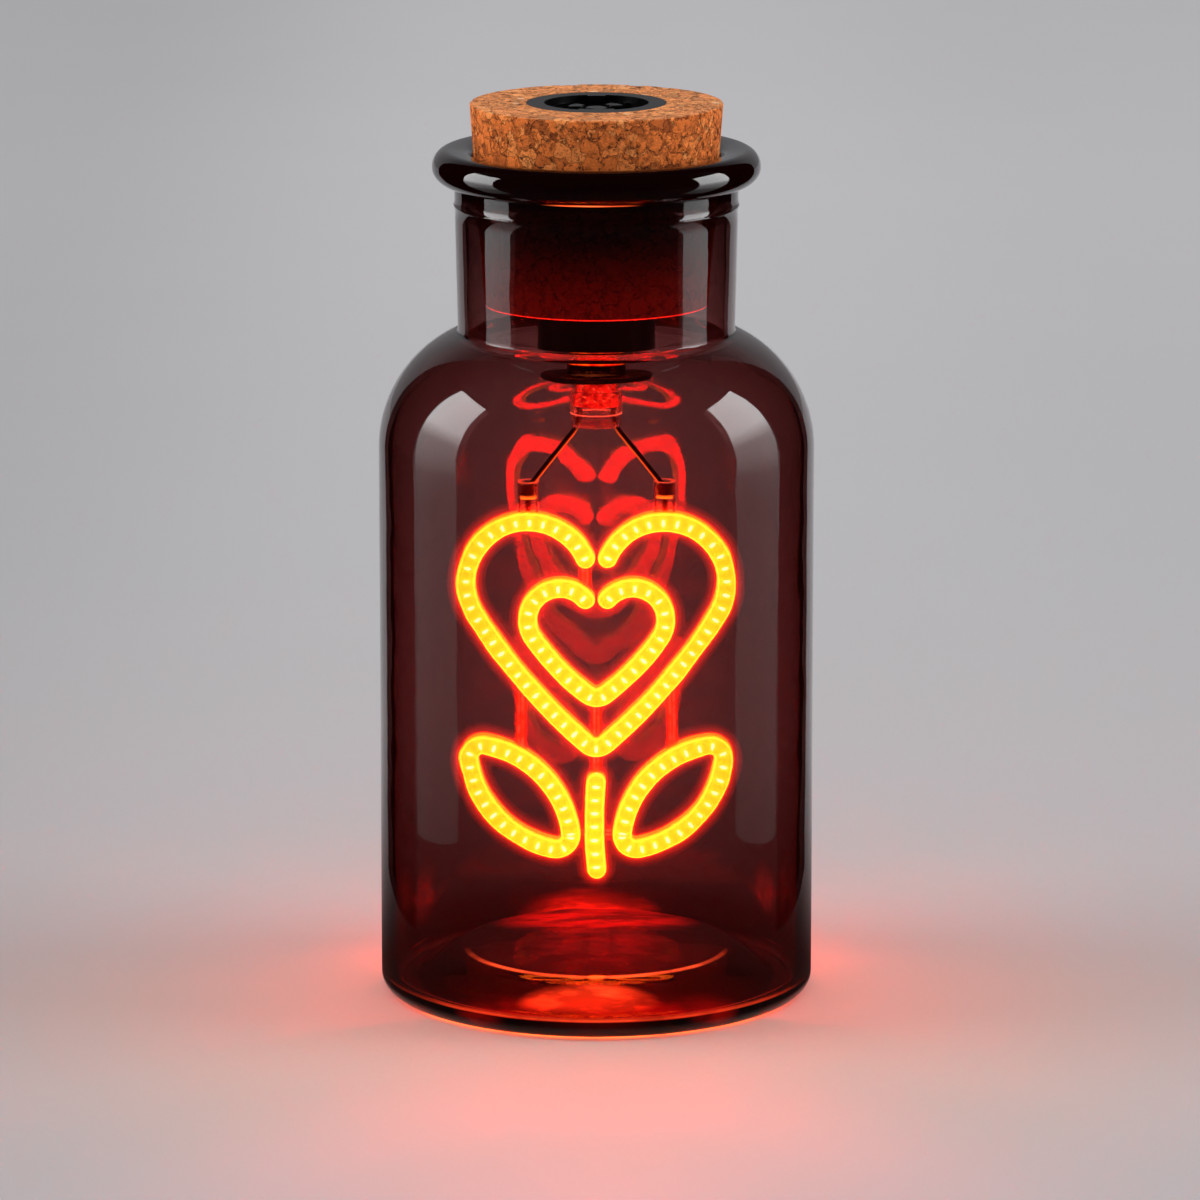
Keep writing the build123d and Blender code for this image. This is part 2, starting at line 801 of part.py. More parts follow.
def make_stub_collar():
    outer_r = stub_collar_diameter / 2
    inner_r = outer_r - stub_collar_wall
    floor_z = stub_bottom_z + stub_collar_floor
    body = revolved([
        (0, stub_bottom_z),
        (outer_r, stub_bottom_z),
        (outer_r, stub_collar_top_z),
        (inner_r, stub_collar_top_z),
        (inner_r, floor_z),
        (0, floor_z),
    ])
    rims = body.edges().filter_by(GeomType.CIRCLE)
    body = fillet(rims.filter_by(lambda rim: abs(rim.radius - outer_r) < thin_clearance), stub_edge_radius)
    return body - lead_tube(-1, lead_r + thin_clearance) - lead_tube(1, lead_r + thin_clearance)


# Leads: two insulated wires from the board, through the stub, to the heads of the sign

def lead_path(side):
    board_x = side * lead_board_spacing / 2
    stub_x = side * lead_stub_spacing / 2
    sleeve_x = side * sleeve_place()[0]
    resin_top_z = socket_bottom_z + socket_pocket_depth
    bend_z = stub_collar_top_z + resin_recess + (stub_length - resin_recess) / 4
    entry_z = sleeve_top_z - plug_drop - plug_height / 3
    end_z = sign_top_z - (tube_width - led_strip_width) / 2 + thin_clearance
    points = [
        (board_x, 0, board_z),
        (board_x, 0, resin_top_z - seat_clearance),
        (stub_x, 0, bend_z),
        (stub_x, 0, stub_bottom_z + stub_collar_floor / 2),
        (sleeve_x, 0, entry_z),
        (sleeve_x, 0, end_z),
    ]
    radii = [lead_upper_radius, lead_upper_radius, lead_exit_radius, lead_entry_radius]
    return FilletPolyline(*points, radius=radii)


def lead_tube(side, radius):
    path = lead_path(side)
    section = Plane(origin=path @ 0, z_dir=path % 0) * Circle(radius)
    return sweep(section, path=path)


def sleeve_place():
    """Place of the end sleeve in the sign's plane: on top of the heart's lobe."""
    lobe_r = heart_lobe_share * sign_half
    return sign_half - lobe_r, sign_top_z - tube_half - lobe_r


def make_end_sleeve(side):
    """Clear sleeve whose lower end is cut to sit on the curved tube."""
    x, lobe_z = sleeve_place()
    outer_r = sleeve_diameter / 2
    low_z = sign_top_z - tube_half
    body = tube_ring(outer_r, outer_r - sleeve_wall, low_z, sleeve_top_z)
    seat_r = sign_top_z - lobe_z + thin_clearance
    seat = Pos(0, 0, lobe_z) * Rot(90, 0, 0) * Cylinder(seat_r, sleeve_diameter + 2 * overrun)
    return Pos(side * x, 0, 0) * (body - seat)


def make_end_plug(side):
    """Dark plug that seals the lead into the sleeve."""
    x = sleeve_place()[0]
    high_z = sleeve_top_z - plug_drop
    body = disc(sleeve_diameter / 2 - sleeve_wall - thin_clearance, high_z - plug_height, high_z)
    return Pos(side * x, 0, 0) * body - lead_tube(side, lead_r + thin_clearance)


# Sign paths: arcs in the XZ plane, each tangent to the next

def flat(point):
    """Point of the sign's plane in space."""
    return Vector(point[0], 0, point[1])


def arc(centre, radius, start, end):
    """Arc in the sign's plane between two angles in radians."""
    places = []
    for angle in (start, (start + end) / 2, end):
        places.append(flat((centre[0] + radius * math.cos(angle), centre[1] + radius * math.sin(angle))))
    return ThreePointArc(*places)


def direction(start, end):
    """Angle of the line from one point of the sign's plane to another."""
    return math.atan2(end[1] - start[1], end[0] - start[0])


def shared_centre(first, first_r, second, second_r, radius):
    """Centre of a large arc that wraps two circles, on the left of the line between them."""
    near = radius - first_r
    far = radius - second_r
    span = math.dist(first, second)
    along = (near ** 2 - far ** 2 + span ** 2) / (2 * span)
    across = math.sqrt(near ** 2 - along ** 2)
    line = direction(first, second)
    return (
        first[0] + along * math.cos(line) + across * math.sin(line),
        first[1] + along * math.sin(line) - across * math.cos(line),
    )


def heart_path(half_width, top, bottom):
    """Open heart: down from the cleft over one lobe, round the tip and back to the cleft."""
    lobe_r = heart_lobe_share * half_width
    lobe = (half_width - lobe_r, top - lobe_r)
    tip = (0, bottom + tube_bend_radius)
    side_r = heart_side_share * math.dist(lobe, tip)
    side = shared_centre(lobe, lobe_r, tip, tube_bend_radius, side_r)
    cleft_x = tube_half + tube_end_gap / 2
    cleft_angle = math.acos((cleft_x - lobe[0]) / lobe_r)
    lobe_end = direction(side, lobe)
    tip_end = direction(side, tip)
    right = [
        arc(lobe, lobe_r, cleft_angle, lobe_end),
        arc(side, side_r, lobe_end, tip_end),
    ]
    bend = arc(tip, tube_bend_radius, tip_end, -math.pi - tip_end)
    left = [edge.mirror(Plane.YZ) for edge in reversed(right)]
    return Wire(right + [bend] + left)


def stem_path():
    high = (0, sign_bottom_z + stem_top_share * sign_height)
    low = (0, sign_bottom_z + tube_half)
    middle = (-stem_bow, (high[1] + low[1]) / 2)
    return Wire([ThreePointArc(flat(high), flat(middle), flat(low))])


def leaf_ends():
    """Centres of the two tight bends of the right leaf, at its base and at its tip."""
    base_x = tube_width + leaf_gap + tube_bend_radius
    base = (base_x, sign_bottom_z + leaf_base_share * sign_height)
    tip_x = leaf_reach_share * sign_half - tube_bend_radius
    tip = (tip_x, sign_bottom_z + leaf_tip_share * sign_height)
    return base, tip


def leaf_path(side):
    """Closed pointed loop: two long arcs joined by a tight bend at each end."""
    base, tip = leaf_ends()
    half_span = math.dist(base, tip) / 2
    half_width = leaf_width / 2
    bend = tube_bend_radius
    long_r = (half_width ** 2 + half_span ** 2 - bend ** 2) / (2 * (half_width - bend))
    offset = long_r - half_width
    line = direction(base, tip)
    middle = ((base[0] + tip[0]) / 2, (base[1] + tip[1]) / 2)
    upper = (middle[0] + offset * math.sin(line), middle[1] - offset * math.cos(line))
    lower = (middle[0] - offset * math.sin(line), middle[1] + offset * math.cos(line))
    upper_base = direction(upper, base) % math.tau
    upper_tip = direction(upper, tip) % math.tau
    lower_tip = direction(lower, tip)
    lower_base = direction(lower, base)
    edges = [
        arc(upper, long_r, upper_base, upper_tip),
        arc(tip, bend, upper_tip, lower_tip),
        arc(lower, long_r, lower_tip, lower_base),
        arc(base, bend, lower_base, upper_base - math.tau),
    ]
    if side < 0:
        edges = [edge.mirror(Plane.YZ) for edge in edges]
    return Wire(edges)


# Luminous tubes: a D section with a domed front, swept along each path

def section_plane(path, distance):
    """Plane across the path: x in the sign's plane, y towards the front, z along the path."""
    origin = path.position_at(distance, position_mode=PositionMode.LENGTH)
    along = path.tangent_at(distance, position_mode=PositionMode.LENGTH)
    return Plane(origin=origin, x_dir=along.cross(Vector(0, 1, 0)), z_dir=along)


def tube_outline(width, front, back, only_half):
    """D section: flat back, straight sides and a half-round front."""
    half = width / 2
    left = 0 if only_half else -half
    with BuildSketch() as outline:
        with BuildLine():
            Line((left, -back), (half, -back))
            Line((half, -back), (half, front - half))
            if only_half:
                CenterArc((0, front - half), half, 0, 90)
                Line((0, front), (0, -back))
            else:
                CenterArc((0, front - half), half, 0, 180)
                Line((-half, front - half), (-half, -back))
        make_face()
        corners = [point for point in vertices() if abs(point.Y + back) < thin_clearance]
        fillet([point for point in corners if abs(point.X) > thin_clearance], radius=tube_back_radius)
    return outline.sketch


def tube_body(path, margin):
    """Swept tube, grown all round by a margin, with half-round ends where the path is open."""
    width = tube_width + 2 * margin
    front = tube_front + margin
    back = tube_back + margin
    start = section_plane(path, 0)
    body = sweep(start * tube_outline(width, front, back, False), path=path)
    if path.is_closed:
        return body
    half = tube_outline(width, front, back, True)
    end = section_plane(path, path.length)
    body = body + revolve(start * half, Axis(start.origin, start.y_dir), 180)
    return body + revolve(end * half, Axis(end.origin, -end.y_dir), 180)


def make_tube(path):
    """Tube with its inner channel for the light strip."""
    start = section_plane(path, 0)
    channel = sweep(start * Rectangle(channel_width, channel_depth), path=path)
    return tube_body(path, 0) - channel


def make_led_strip(path):
    """Flat strip along the channel's back with one light chip at each pitch."""
    back = -channel_depth / 2 + seat_clearance
    strip_y = back + led_strip_thickness / 2
    chip_y = back + led_strip_thickness + led_height / 2
    start = section_plane(path, 0)
    strip = sweep(start * Pos(0, strip_y) * Rectangle(led_strip_width, led_strip_thickness), path=path)
    usable = path.length - 2 * led_end_margin
    count = int(usable / led_pitch)
    first = (path.length - (count - 1) * led_pitch) / 2
    chip = Pos(0, chip_y, 0) * Box(led_width, led_height, led_length)
    chips = [section_plane(path, first + step * led_pitch).location * chip for step in range(count)]
    return strip.fuse(*chips)


# Clear links between the strokes, each with two fine wires inside

def link_solid(low, high, neighbours, radius, offset):
    """Round bar between two points of the sign's plane, cut back by the tubes that it joins."""
    start = flat(low)
    end = flat(high)
    along = (end - start).normalized()
    plane = Plane(origin=start, x_dir=along.cross(Vector(0, 1, 0)), z_dir=along)
    bar = extrude(plane * Pos(offset, 0) * Circle(radius), (end - start).length)
    for neighbour in neighbours:
        bar = bar - neighbour
    return bar


def middle_piece(shape, place):
    """The solid nearest to a place, where a cut leaves more than one."""
    return shape.solids().sort_by_distance(flat(place))[0]


def make_link(low, high, neighbours):
    middle = ((low[0] + high[0]) / 2, (low[1] + high[1]) / 2)
    outer = link_solid(low, high, neighbours, link_diameter / 2, 0)
    bore = link_solid(low, high, [], link_diameter / 2 - link_wall, 0)
    wires = []
    for side in (-1, 1):
        offset = side * link_wire_spacing / 2
        wire = link_solid(low, high, neighbours, link_wire_diameter / 2, offset)
        wires.append(middle_piece(wire, middle))
    return middle_piece(outer - bore, middle), wires


# Build and write every sub-part

outer_top = sign_top_z - tube_half
outer_bottom = sign_bottom_z + heart_bottom_share * sign_height
inner_half = inner_width_share * sign_half
inner_top = sign_bottom_z + inner_top_share * sign_height
inner_bottom = sign_bottom_z + inner_bottom_share * sign_height

heart = heart_path(sign_half, outer_top, outer_bottom)
inner_heart = heart_path(inner_half, inner_top, inner_bottom)
stem = stem_path()
left_leaf = leaf_path(-1)
right_leaf = leaf_path(1)

save(make_bottle(), "bottle_glass")
save(make_cork(), "cork_stopper")
save(make_housing(), "battery_housing")
save(make_contact_strip(), "contact_strip")
save(make_end_cap(), "housing_end_cap")
save(make_battery_cap(), "battery_cap")
save(make_power_button(), "power_button")
save(make_button_spring(), "button_spring")
save(make_switch_body(), "switch_body")
save(make_cap_contact_plate(), "cap_contact_plate")
save(make_cap_contact_ring(), "cap_contact_ring")
save(make_carrier(), "battery_carrier")
save(make_carrier_contacts(), "carrier_contacts")
save(make_cell_springs(), "cell_springs")
save(make_cell_contacts(), "cell_contacts")
for cell in range(cell_count):
    save(make_cell(cell), "battery_" + str(cell + 1))
save(make_driver_board(), "driver_board")
save(make_driver_chip(), "driver_chip")
save(make_board_components(), "board_components")
save(make_board_contact(), "board_contact")
save(make_socket(), "lamp_socket")
save(make_socket_nut(), "socket_nut")
save(make_stub_sleeve(), "stub_sleeve")
save(make_stub_resin(), "stub_resin")
save(make_stub_collar(), "stub_collar")
for side, label in ((-1, "left"), (1, "right")):
    save(lead_tube(side, lead_r), label + "_lead")
    save(make_end_sleeve(side), label + "_end_sleeve")
    save(make_end_plug(side), label + "_end_plug")

sleeve_x = sleeve_place()[0]
heart_tube = make_tube(heart)
for side in (-1, 1):
    entry_z = sign_top_z - tube_half
    entry = Pos(side * sleeve_x, 0, 0) * disc(lead_r + thin_clearance, entry_z, sleeve_top_z)
    heart_tube = heart_tube - entry
save(heart_tube, "heart_tube")
save(make_tube(inner_heart), "inner_heart_tube")
save(make_tube(stem), "stem_tube")
save(make_tube(left_leaf), "left_leaf_tube")
save(make_tube(right_leaf), "right_leaf_tube")
save(make_led_strip(heart), "heart_led_strip")
save(make_led_strip(inner_heart), "inner_heart_led_strip")
save(make_led_strip(stem), "stem_led_strip")
save(make_led_strip(left_leaf), "left_leaf_led_strip")
save(make_led_strip(right_leaf), "right_leaf_led_strip")

heart_room = tube_body(heart, thin_clearance)
inner_room = tube_body(inner_heart, thin_clearance)
stem_room = tube_body(stem, thin_clearance)
leaf_rooms = {-1: tube_body(left_leaf, thin_clearance), 1: tube_body(right_leaf, thin_clearance)}
leaf_base = leaf_ends()[0]
leaf_tip = leaf_ends()[1]
stem_top = sign_bottom_z + stem_top_share * sign_height
cleft_x = tube_half + tube_end_gap / 2
inner_lobe_r = heart_lobe_share * inner_half
side_x = side_link_share * sign_half
link_wires = []

links = [
    ("cleft_link", (-cleft_x, inner_top - inner_lobe_r), (-cleft_x, outer_top), [heart_room, inner_room]),
    ("inner_tip_link", (0, outer_bottom), (0, inner_bottom), [heart_room, inner_room]),
    ("stem_link", (0, stem_top), (0, outer_bottom), [heart_room, stem_room]),
]
for side, label in ((-1, "left"), (1, "right")):
    rooms = [leaf_rooms[side], stem_room]
    leaf_place = (side * (leaf_base[0] - tube_bend_radius), leaf_base[1])
    links.append((label + "_leaf_link", (0, leaf_base[1]), leaf_place, rooms))
    rooms = [leaf_rooms[side], heart_room]
    links.append((label + "_side_link", (side * side_x, leaf_base[1]), (side * side_x, outer_top), rooms))
for name, low, high, rooms in links:
    link, wires = make_link(low, high, rooms)
    save(link, name)
    link_wires += wires
save(Compound(children=link_wires), "link_wires")
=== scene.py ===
import math

import bmesh
import bpy
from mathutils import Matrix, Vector, noise


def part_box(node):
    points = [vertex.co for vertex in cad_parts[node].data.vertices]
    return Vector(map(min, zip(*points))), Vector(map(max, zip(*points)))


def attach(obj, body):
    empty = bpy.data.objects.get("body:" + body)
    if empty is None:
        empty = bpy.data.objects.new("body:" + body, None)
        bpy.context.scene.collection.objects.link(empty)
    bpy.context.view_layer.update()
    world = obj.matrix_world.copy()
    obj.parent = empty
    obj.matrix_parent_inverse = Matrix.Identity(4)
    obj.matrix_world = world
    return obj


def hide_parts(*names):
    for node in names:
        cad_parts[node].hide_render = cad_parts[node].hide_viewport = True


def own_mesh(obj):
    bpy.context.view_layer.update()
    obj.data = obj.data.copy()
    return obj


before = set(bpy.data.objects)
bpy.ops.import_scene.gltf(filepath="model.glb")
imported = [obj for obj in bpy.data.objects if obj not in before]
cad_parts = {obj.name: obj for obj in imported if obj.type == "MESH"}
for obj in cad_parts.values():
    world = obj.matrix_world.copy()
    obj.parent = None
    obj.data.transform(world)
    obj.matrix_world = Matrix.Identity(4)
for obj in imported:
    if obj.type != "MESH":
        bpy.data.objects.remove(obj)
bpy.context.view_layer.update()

bl_info = {
    "name": "Cork Bottle Light",
    "version": (1, 0, 0),
    "blender": (4, 5, 0),
    "location": "3D View > Sidebar > Bottle Light",
    "description": "Dresses the packed bottle light: glass, cork, battery module, sign and studio",
    "category": "Object",
}

MM = 0.001
BOTTLE_LOW, BOTTLE_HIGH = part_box("bottle_glass")
CORK_LOW, CORK_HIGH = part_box("cork_stopper")
SIGN_HIGH_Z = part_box("heart_tube")[1].z
SIGN_LOW_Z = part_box("stem_tube")[0].z


# Painted light: emission where the glass catches the sign's light. Rings: radius, height, width and share. Patches:
# middle, half size, colour
PAINTED_LIGHT_RINGS = ((0.0336, 0.0112, 0.00055, 1.2), (0.0502, 0.0044, 0.0005, 0.8), (0.0519, 0.0005, 0.0005, 1.9))
PAINTED_LIGHT_PATCHES = (
    ((0.0, 0.050, 0.078), (0.046, 0.030, 0.085), (0.16, 0.003, 0.002)),
    ((-0.002, 0.047, 0.006), (0.021, 0.014, 0.0075), (3.4, 0.05, 0.012)),
    ((0.0, 0.022, 0.0122), (0.031, 0.020, 0.004), (2.6, 0.016, 0.005)),
    ((0.0, -0.006, 0.0122), (0.020, 0.022, 0.004), (0.7, 0.004, 0.002)),
    ((-0.003, -0.0405, 0.0072), (0.021, 0.0065, 0.005), (10.0, 1.0, 0.20)),
    ((0.0, -0.0435, 0.0045), (0.038, 0.0085, 0.009), (1.3, 0.008, 0.004)),
)


# Sizes and colours that a user would change

def length(name, description, default):
    return bpy.props.FloatProperty(
        name=name, description=description, default=default, unit="LENGTH", subtype="DISTANCE", precision=5,
    )


def colour(name, description, default):
    return bpy.props.FloatVectorProperty(
        name=name, description=description, default=default, size=3, subtype="COLOR", min=0.0, soft_max=1.0,
    )


def factor(name, description, default, top=1.0):
    return bpy.props.FloatProperty(name=name, description=description, default=default, min=0.0, max=top)


class BottleSettings(bpy.types.PropertyGroup):
    """Blown glass of the bottle."""
    height: length("Height", "Foot ring to the crest of the lip", BOTTLE_HIGH.z)
    radius: length("Body Radius", "Outside radius of the body", 0.055)
    wall: length("Wall", "Glass thickness of the body", 0.0036)
    seam_height: length("Seam Height", "How far the mould seam stands proud", 0.000015)
    surface: colour("Surface Tint", "Tint of one wall of the glass", (0.92, 0.62, 0.62))
    lip: colour("Lip Tint", "Tint of the thick glass of the lip", (0.10, 0.045, 0.045))
    foot: colour("Foot Tint", "Tint of the thick glass of the foot", (0.76, 0.26, 0.26))
    tint: colour("Depth Tint", "Absorption colour of the glass", (0.33, 0.16, 0.15))
    density: factor("Depth Density", "How strongly the glass absorbs, per metre", 380.0, 5000.0)
    film: factor("Film", "Share of light that the dust film on the glass scatters", 0.004)


class CorkSettings(bpy.types.PropertyGroup):
    """Pressed granules of the cork."""
    granule: length("Granule", "Size of a large granule", 0.0038)
    pale: colour("Pale Granules", "Colour of the lightest granules", (0.95, 0.32, 0.085))
    middle: colour("Middle Granules", "Colour of most granules", (0.74, 0.175, 0.034))
    dark: colour("Dark Granules", "Colour of the darkest granules", (0.30, 0.066, 0.014))
    pore: colour("Pores", "Colour down in the pores and cracks", (0.035, 0.010, 0.004))
    chip_depth: length("Chip Depth", "Deepest chip at the top edge", 0.0007)


class SignSettings(bpy.types.PropertyGroup):
    """Luminous tubes of the sign."""
    width: length("Tube Width", "Width of a stroke", 0.005)
    pitch: length("Light Pitch", "Distance between light chips", 0.0035)
    glow: colour("Glow", "Colour of the tube between its light chips", (2.8, 0.74, 0.012))
    chip: colour("Chip", "Colour in front of a light chip", (2.8, 1.25, 0.55))
    edge: colour("Edge", "Colour of the bright line along the tube's edge", (2.8, 1.10, 0.045))
    side: colour("Side", "Colour of the tube's side wall", (1.0, 0.16, 0.0))
    # Halo and Wide Halo set the reach of the painted glow round the strokes.
    halo: length("Halo", "Reach of the red haze close round a stroke", 0.0012)
    wide_halo: length("Wide Halo", "Reach of the fainter haze round a stroke", 0.0024)
    power: factor("Power", "Brightness of the tubes over their written colour", 6.0, 100.0)


class StageSettings(bpy.types.PropertyGroup):
    """Floor, lamps and camera."""
    floor: colour("Floor", "Colour of the paper sweep", (0.455, 0.45, 0.46))
    elevation: bpy.props.FloatProperty(
        name="Elevation", description="Camera angle above the horizon", default=math.radians(12.296),
        unit="ROTATION", subtype="ANGLE",
    )
    distance: length("Distance", "Camera to the middle of the bottle", 1.85196)
    lens: factor("Lens", "Focal length in millimetres", 219.0, 1000.0)
    glow: factor("Sign Light", "Power of the sign's light on its surroundings, in watts", 1.3, 10.0)


# Mesh building

def mesh_piece(name, shape, body, material, replaced=(), smooth=60.0):
    """Turns a bmesh into a piece that rides on a body of the frame."""
    bmesh.ops.recalc_face_normals(shape, faces=shape.faces)
    mesh = bpy.data.meshes.new(name)
    shape.to_mesh(mesh)
    shape.free()
    mesh.materials.append(material)
    piece = bpy.data.objects.new(name, mesh)
    bpy.context.scene.collection.objects.link(piece)
    mesh.shade_smooth()
    mesh.set_sharp_from_angle(angle=math.radians(smooth))
    if body:
        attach(piece, body)
    if replaced:
        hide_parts(*replaced)
    return piece


def arc(centre_r, centre_z, radius, start, end, steps):
    """Points of an arc in the lathe's plane, with angles in degrees."""
    points = []
    for step in range(steps + 1):
        angle = math.radians(start + (end - start) * step / steps)
        points.append((centre_r + radius * math.cos(angle), centre_z + radius * math.sin(angle)))
    return points


def oval(centre_r, centre_z, reach, rise, start, end, steps):
    """Points of a quarter oval in the lathe's plane."""
    points = []
    for step in range(steps + 1):
        angle = math.radians(start + (end - start) * step / steps)
        points.append((centre_r + reach * math.cos(angle), centre_z + rise * math.sin(angle)))
    return points


def run(start, end, steps):
    """Points of a straight run, without its first point."""
    return [
        (start[0] + (end[0] - start[0]) * step / steps, start[1] + (end[1] - start[1]) * step / steps)
        for step in range(1, steps + 1)
    ]


def lathe(profile, segments, closed):
    """Turns a profile of (radius, height) points into a bmesh. Points on the axis become one vertex."""
    shape = bmesh.new()
    rings = []
    for radius, height in profile:
        if radius < 1e-7:
            rings.append([shape.verts.new((0.0, 0.0, height))] * segments)
            continue
        ring = []
        for step in range(segments):
            turn = math.tau * step / segments
            ring.append(shape.verts.new((radius * math.cos(turn), radius * math.sin(turn), height)))
        rings.append(ring)
    pairs = list(zip(rings, rings[1:]))
    if closed:
        pairs.append((rings[-1], rings[0]))
    for low, high in pairs:
        for step in range(segments):
            after = (step + 1) % segments
            corners = []
            for vertex in (low[step], low[after], high[after], high[step]):
                if vertex not in corners:
                    corners.append(vertex)
            if len(corners) > 2:
                shape.faces.new(corners)
    return shape


def wire_mesh(points, radius, sides=10):
    """Sweeps a round wire along points, with flat ends."""
    shape = bmesh.new()
    rings = []
    for index, point in enumerate(points):
        before, after = points[max(index - 1, 0)], points[min(index + 1, len(points) - 1)]
        along = (after - before).normalized()
        across = along.cross(Vector((0.0, 0.0, 1.0))).normalized()
        above = across.cross(along)
        ring = []
        for side in range(sides):
            turn = math.tau * side / sides
            ring.append(shape.verts.new(point + across * (radius * math.cos(turn)) + above * (radius * math.sin(turn))))
        rings.append(ring)
    for low, high in zip(rings, rings[1:]):
        for side in range(sides):
            after = (side + 1) % sides
            shape.faces.new((low[side], low[after], high[after], high[side]))
    shape.faces.new(rings[0])
    shape.faces.new(rings[-1])
    return shape


# Node building

def new_material(name):
    """Material with only a Principled shader and its output."""
    material = bpy.data.materials.new(name)
    material.use_nodes = True
    return material, material.node_tree, material.node_tree.nodes["Principled BSDF"]


def node(tree, kind, values=None, **settings):
    """Adds a node, sets its own settings and the values of its sockets."""
    made = tree.nodes.new(kind)
    for key, value in settings.items():
        setattr(made, key, value)
    for key, value in (values or {}).items():
        socket = made.inputs[key]
        if isinstance(value, bpy.types.NodeSocket):
            tree.links.new(value, socket)
        else:
            socket.default_value = value
    return made


def maths(tree, operation, first, second=0.0, third=0.0):
    return node(tree, "ShaderNodeMath", {0: first, 1: second, 2: third}, operation=operation).outputs[0]


def blend(tree, share, first, second):
    """Mixes two colours."""
    made = node(tree, "ShaderNodeMix", data_type="RGBA")
    for index, value in ((0, share), (6, first), (7, second)):
        if isinstance(value, bpy.types.NodeSocket):
            tree.links.new(value, made.inputs[index])
        elif index == 0:
            made.inputs[index].default_value = value
        else:
            made.inputs[index].default_value = (*value[:3], 1.0)
    return made.outputs[2]


def spread(tree, value, low, high, to_low=0.0, to_high=1.0, kind="SMOOTHSTEP"):
    """Maps a value from one range to another."""
    made = node(
        tree, "ShaderNodeMapRange",
        {"Value": value, "From Min": low, "From Max": high, "To Min": to_low, "To Max": to_high},
        interpolation_type=kind,
    )
    return made.outputs["Result"]


def place(tree):
    """Object coordinates, in metres."""
    return node(tree, "ShaderNodeTexCoord").outputs["Object"]


def clouds(tree, where, scale, detail=3.0, roughness=0.5):
    made = node(
        tree, "ShaderNodeTexNoise",
        {"Vector": where, "Scale": scale, "Detail": detail, "Roughness": roughness},
    )
    return made.outputs["Fac"]


def cells(tree, where, scale, feature="F1", randomness=1.0):
    return node(
        tree, "ShaderNodeTexVoronoi", {"Vector": where, "Scale": scale, "Randomness": randomness}, feature=feature,
    )


def new_group(name, inputs, outputs):
    """Node group with named sockets, each input given as its type and default."""
    group = bpy.data.node_groups.new(name, "ShaderNodeTree")
    for label, (kind, default) in inputs.items():
        socket = group.interface.new_socket(label, in_out="INPUT", socket_type=kind)
        socket.default_value = default
    for label, kind in outputs.items():
        group.interface.new_socket(label, in_out="OUTPUT", socket_type=kind)
    return group, group.nodes.new("NodeGroupInput"), group.nodes.new("NodeGroupOutput")


def use_group(tree, name, values=None):
    made = tree.nodes.new("ShaderNodeGroup")
    made.node_tree = bpy.data.node_groups[name]
    for key, value in (values or {}).items():
        if isinstance(value, bpy.types.NodeSocket):
            tree.links.new(value, made.inputs[key])
        else:
            made.inputs[key].default_value = value
    return made


def relief(tree, shader, height, distance, strength=1.0):
    """Feeds a height into the shader's normal."""
    made = node(tree, "ShaderNodeBump", {"Height": height, "Distance": distance, "Strength": strength})
    tree.links.new(made.outputs["Normal"], shader.inputs["Normal"])


FLOAT = "NodeSocketFloat"
COLOUR = "NodeSocketColor"


def build_wear_group():
    """Dust, fine scratches and a moulded grain for small hard parts."""
    group, given, result = new_group(
        "fine_wear",
        {"Grain Scale": (FLOAT, 3000.0), "Dust": (FLOAT, 0.3), "Scratches": (FLOAT, 0.3)},
        {"Grain": FLOAT, "Dust Mask": FLOAT, "Roughness Shift": FLOAT, "Height": FLOAT},
    )
    where = place(group)
    grain = node(group, "ShaderNodeTexNoise", {
        "Vector": where, "Scale": given.outputs["Grain Scale"], "Detail": 2.0, "Roughness": 0.6,
    }).outputs["Fac"]
    patches = clouds(group, where, 220.0, 4.0, 0.65)
    dust = maths(group, "MULTIPLY", spread(group, patches, 0.52, 0.75), given.outputs["Dust"])
    stretched = node(group, "ShaderNodeMapping", {"Vector": where, "Scale": (1.0, 9.0, 5.0), "Rotation": (0.4, 0.3, 0.8)})
    lines = clouds(group, stretched.outputs["Vector"], 420.0, 2.0, 0.4)
    scratch = spread(group, maths(group, "ABSOLUTE", maths(group, "SUBTRACT", lines, 0.5)), 0.0, 0.012, 1.0, 0.0)
    scratch = maths(group, "MULTIPLY", scratch, given.outputs["Scratches"])
    shift = maths(group, "ADD", maths(group, "MULTIPLY", dust, 0.35), maths(group, "MULTIPLY", scratch, 0.15))
    height = maths(group, "SUBTRACT", grain, maths(group, "MULTIPLY", scratch, 1.5))
    group.links.new(grain, result.inputs["Grain"])
    group.links.new(dust, result.inputs["Dust Mask"])
    group.links.new(shift, result.inputs["Roughness Shift"])
    group.links.new(height, result.inputs["Height"])


def build_drawn_group():
    """Drawing lines and tarnish for small metal parts."""
    group, given, result = new_group(
        "drawn_lines",
        {"Colour": (COLOUR, (0.8, 0.6, 0.3, 1.0)), "Tarnish": (FLOAT, 0.4)},
        {"Colour": COLOUR, "Roughness": FLOAT, "Height": FLOAT},
    )
    where = place(group)
    stretched = node(group, "ShaderNodeMapping", {"Vector": where, "Scale": (1.0, 1.0, 0.05)})
    lines = clouds(group, stretched.outputs["Vector"], 4000.0, 2.0, 0.5)
    stain = maths(group, "MULTIPLY", spread(group, clouds(group, where, 300.0), 0.45, 0.7), given.outputs["Tarnish"])
    darker = node(group, "ShaderNodeHueSaturation", {"Color": given.outputs["Colour"], "Value": 0.55})
    tint = blend(group, stain, given.outputs["Colour"], darker.outputs["Color"])
    group.links.new(tint, result.inputs["Colour"])
    group.links.new(spread(group, lines, 0.3, 0.7, 0.22, 0.42, "LINEAR"), result.inputs["Roughness"])
    group.links.new(lines, result.inputs["Height"])


# Materials

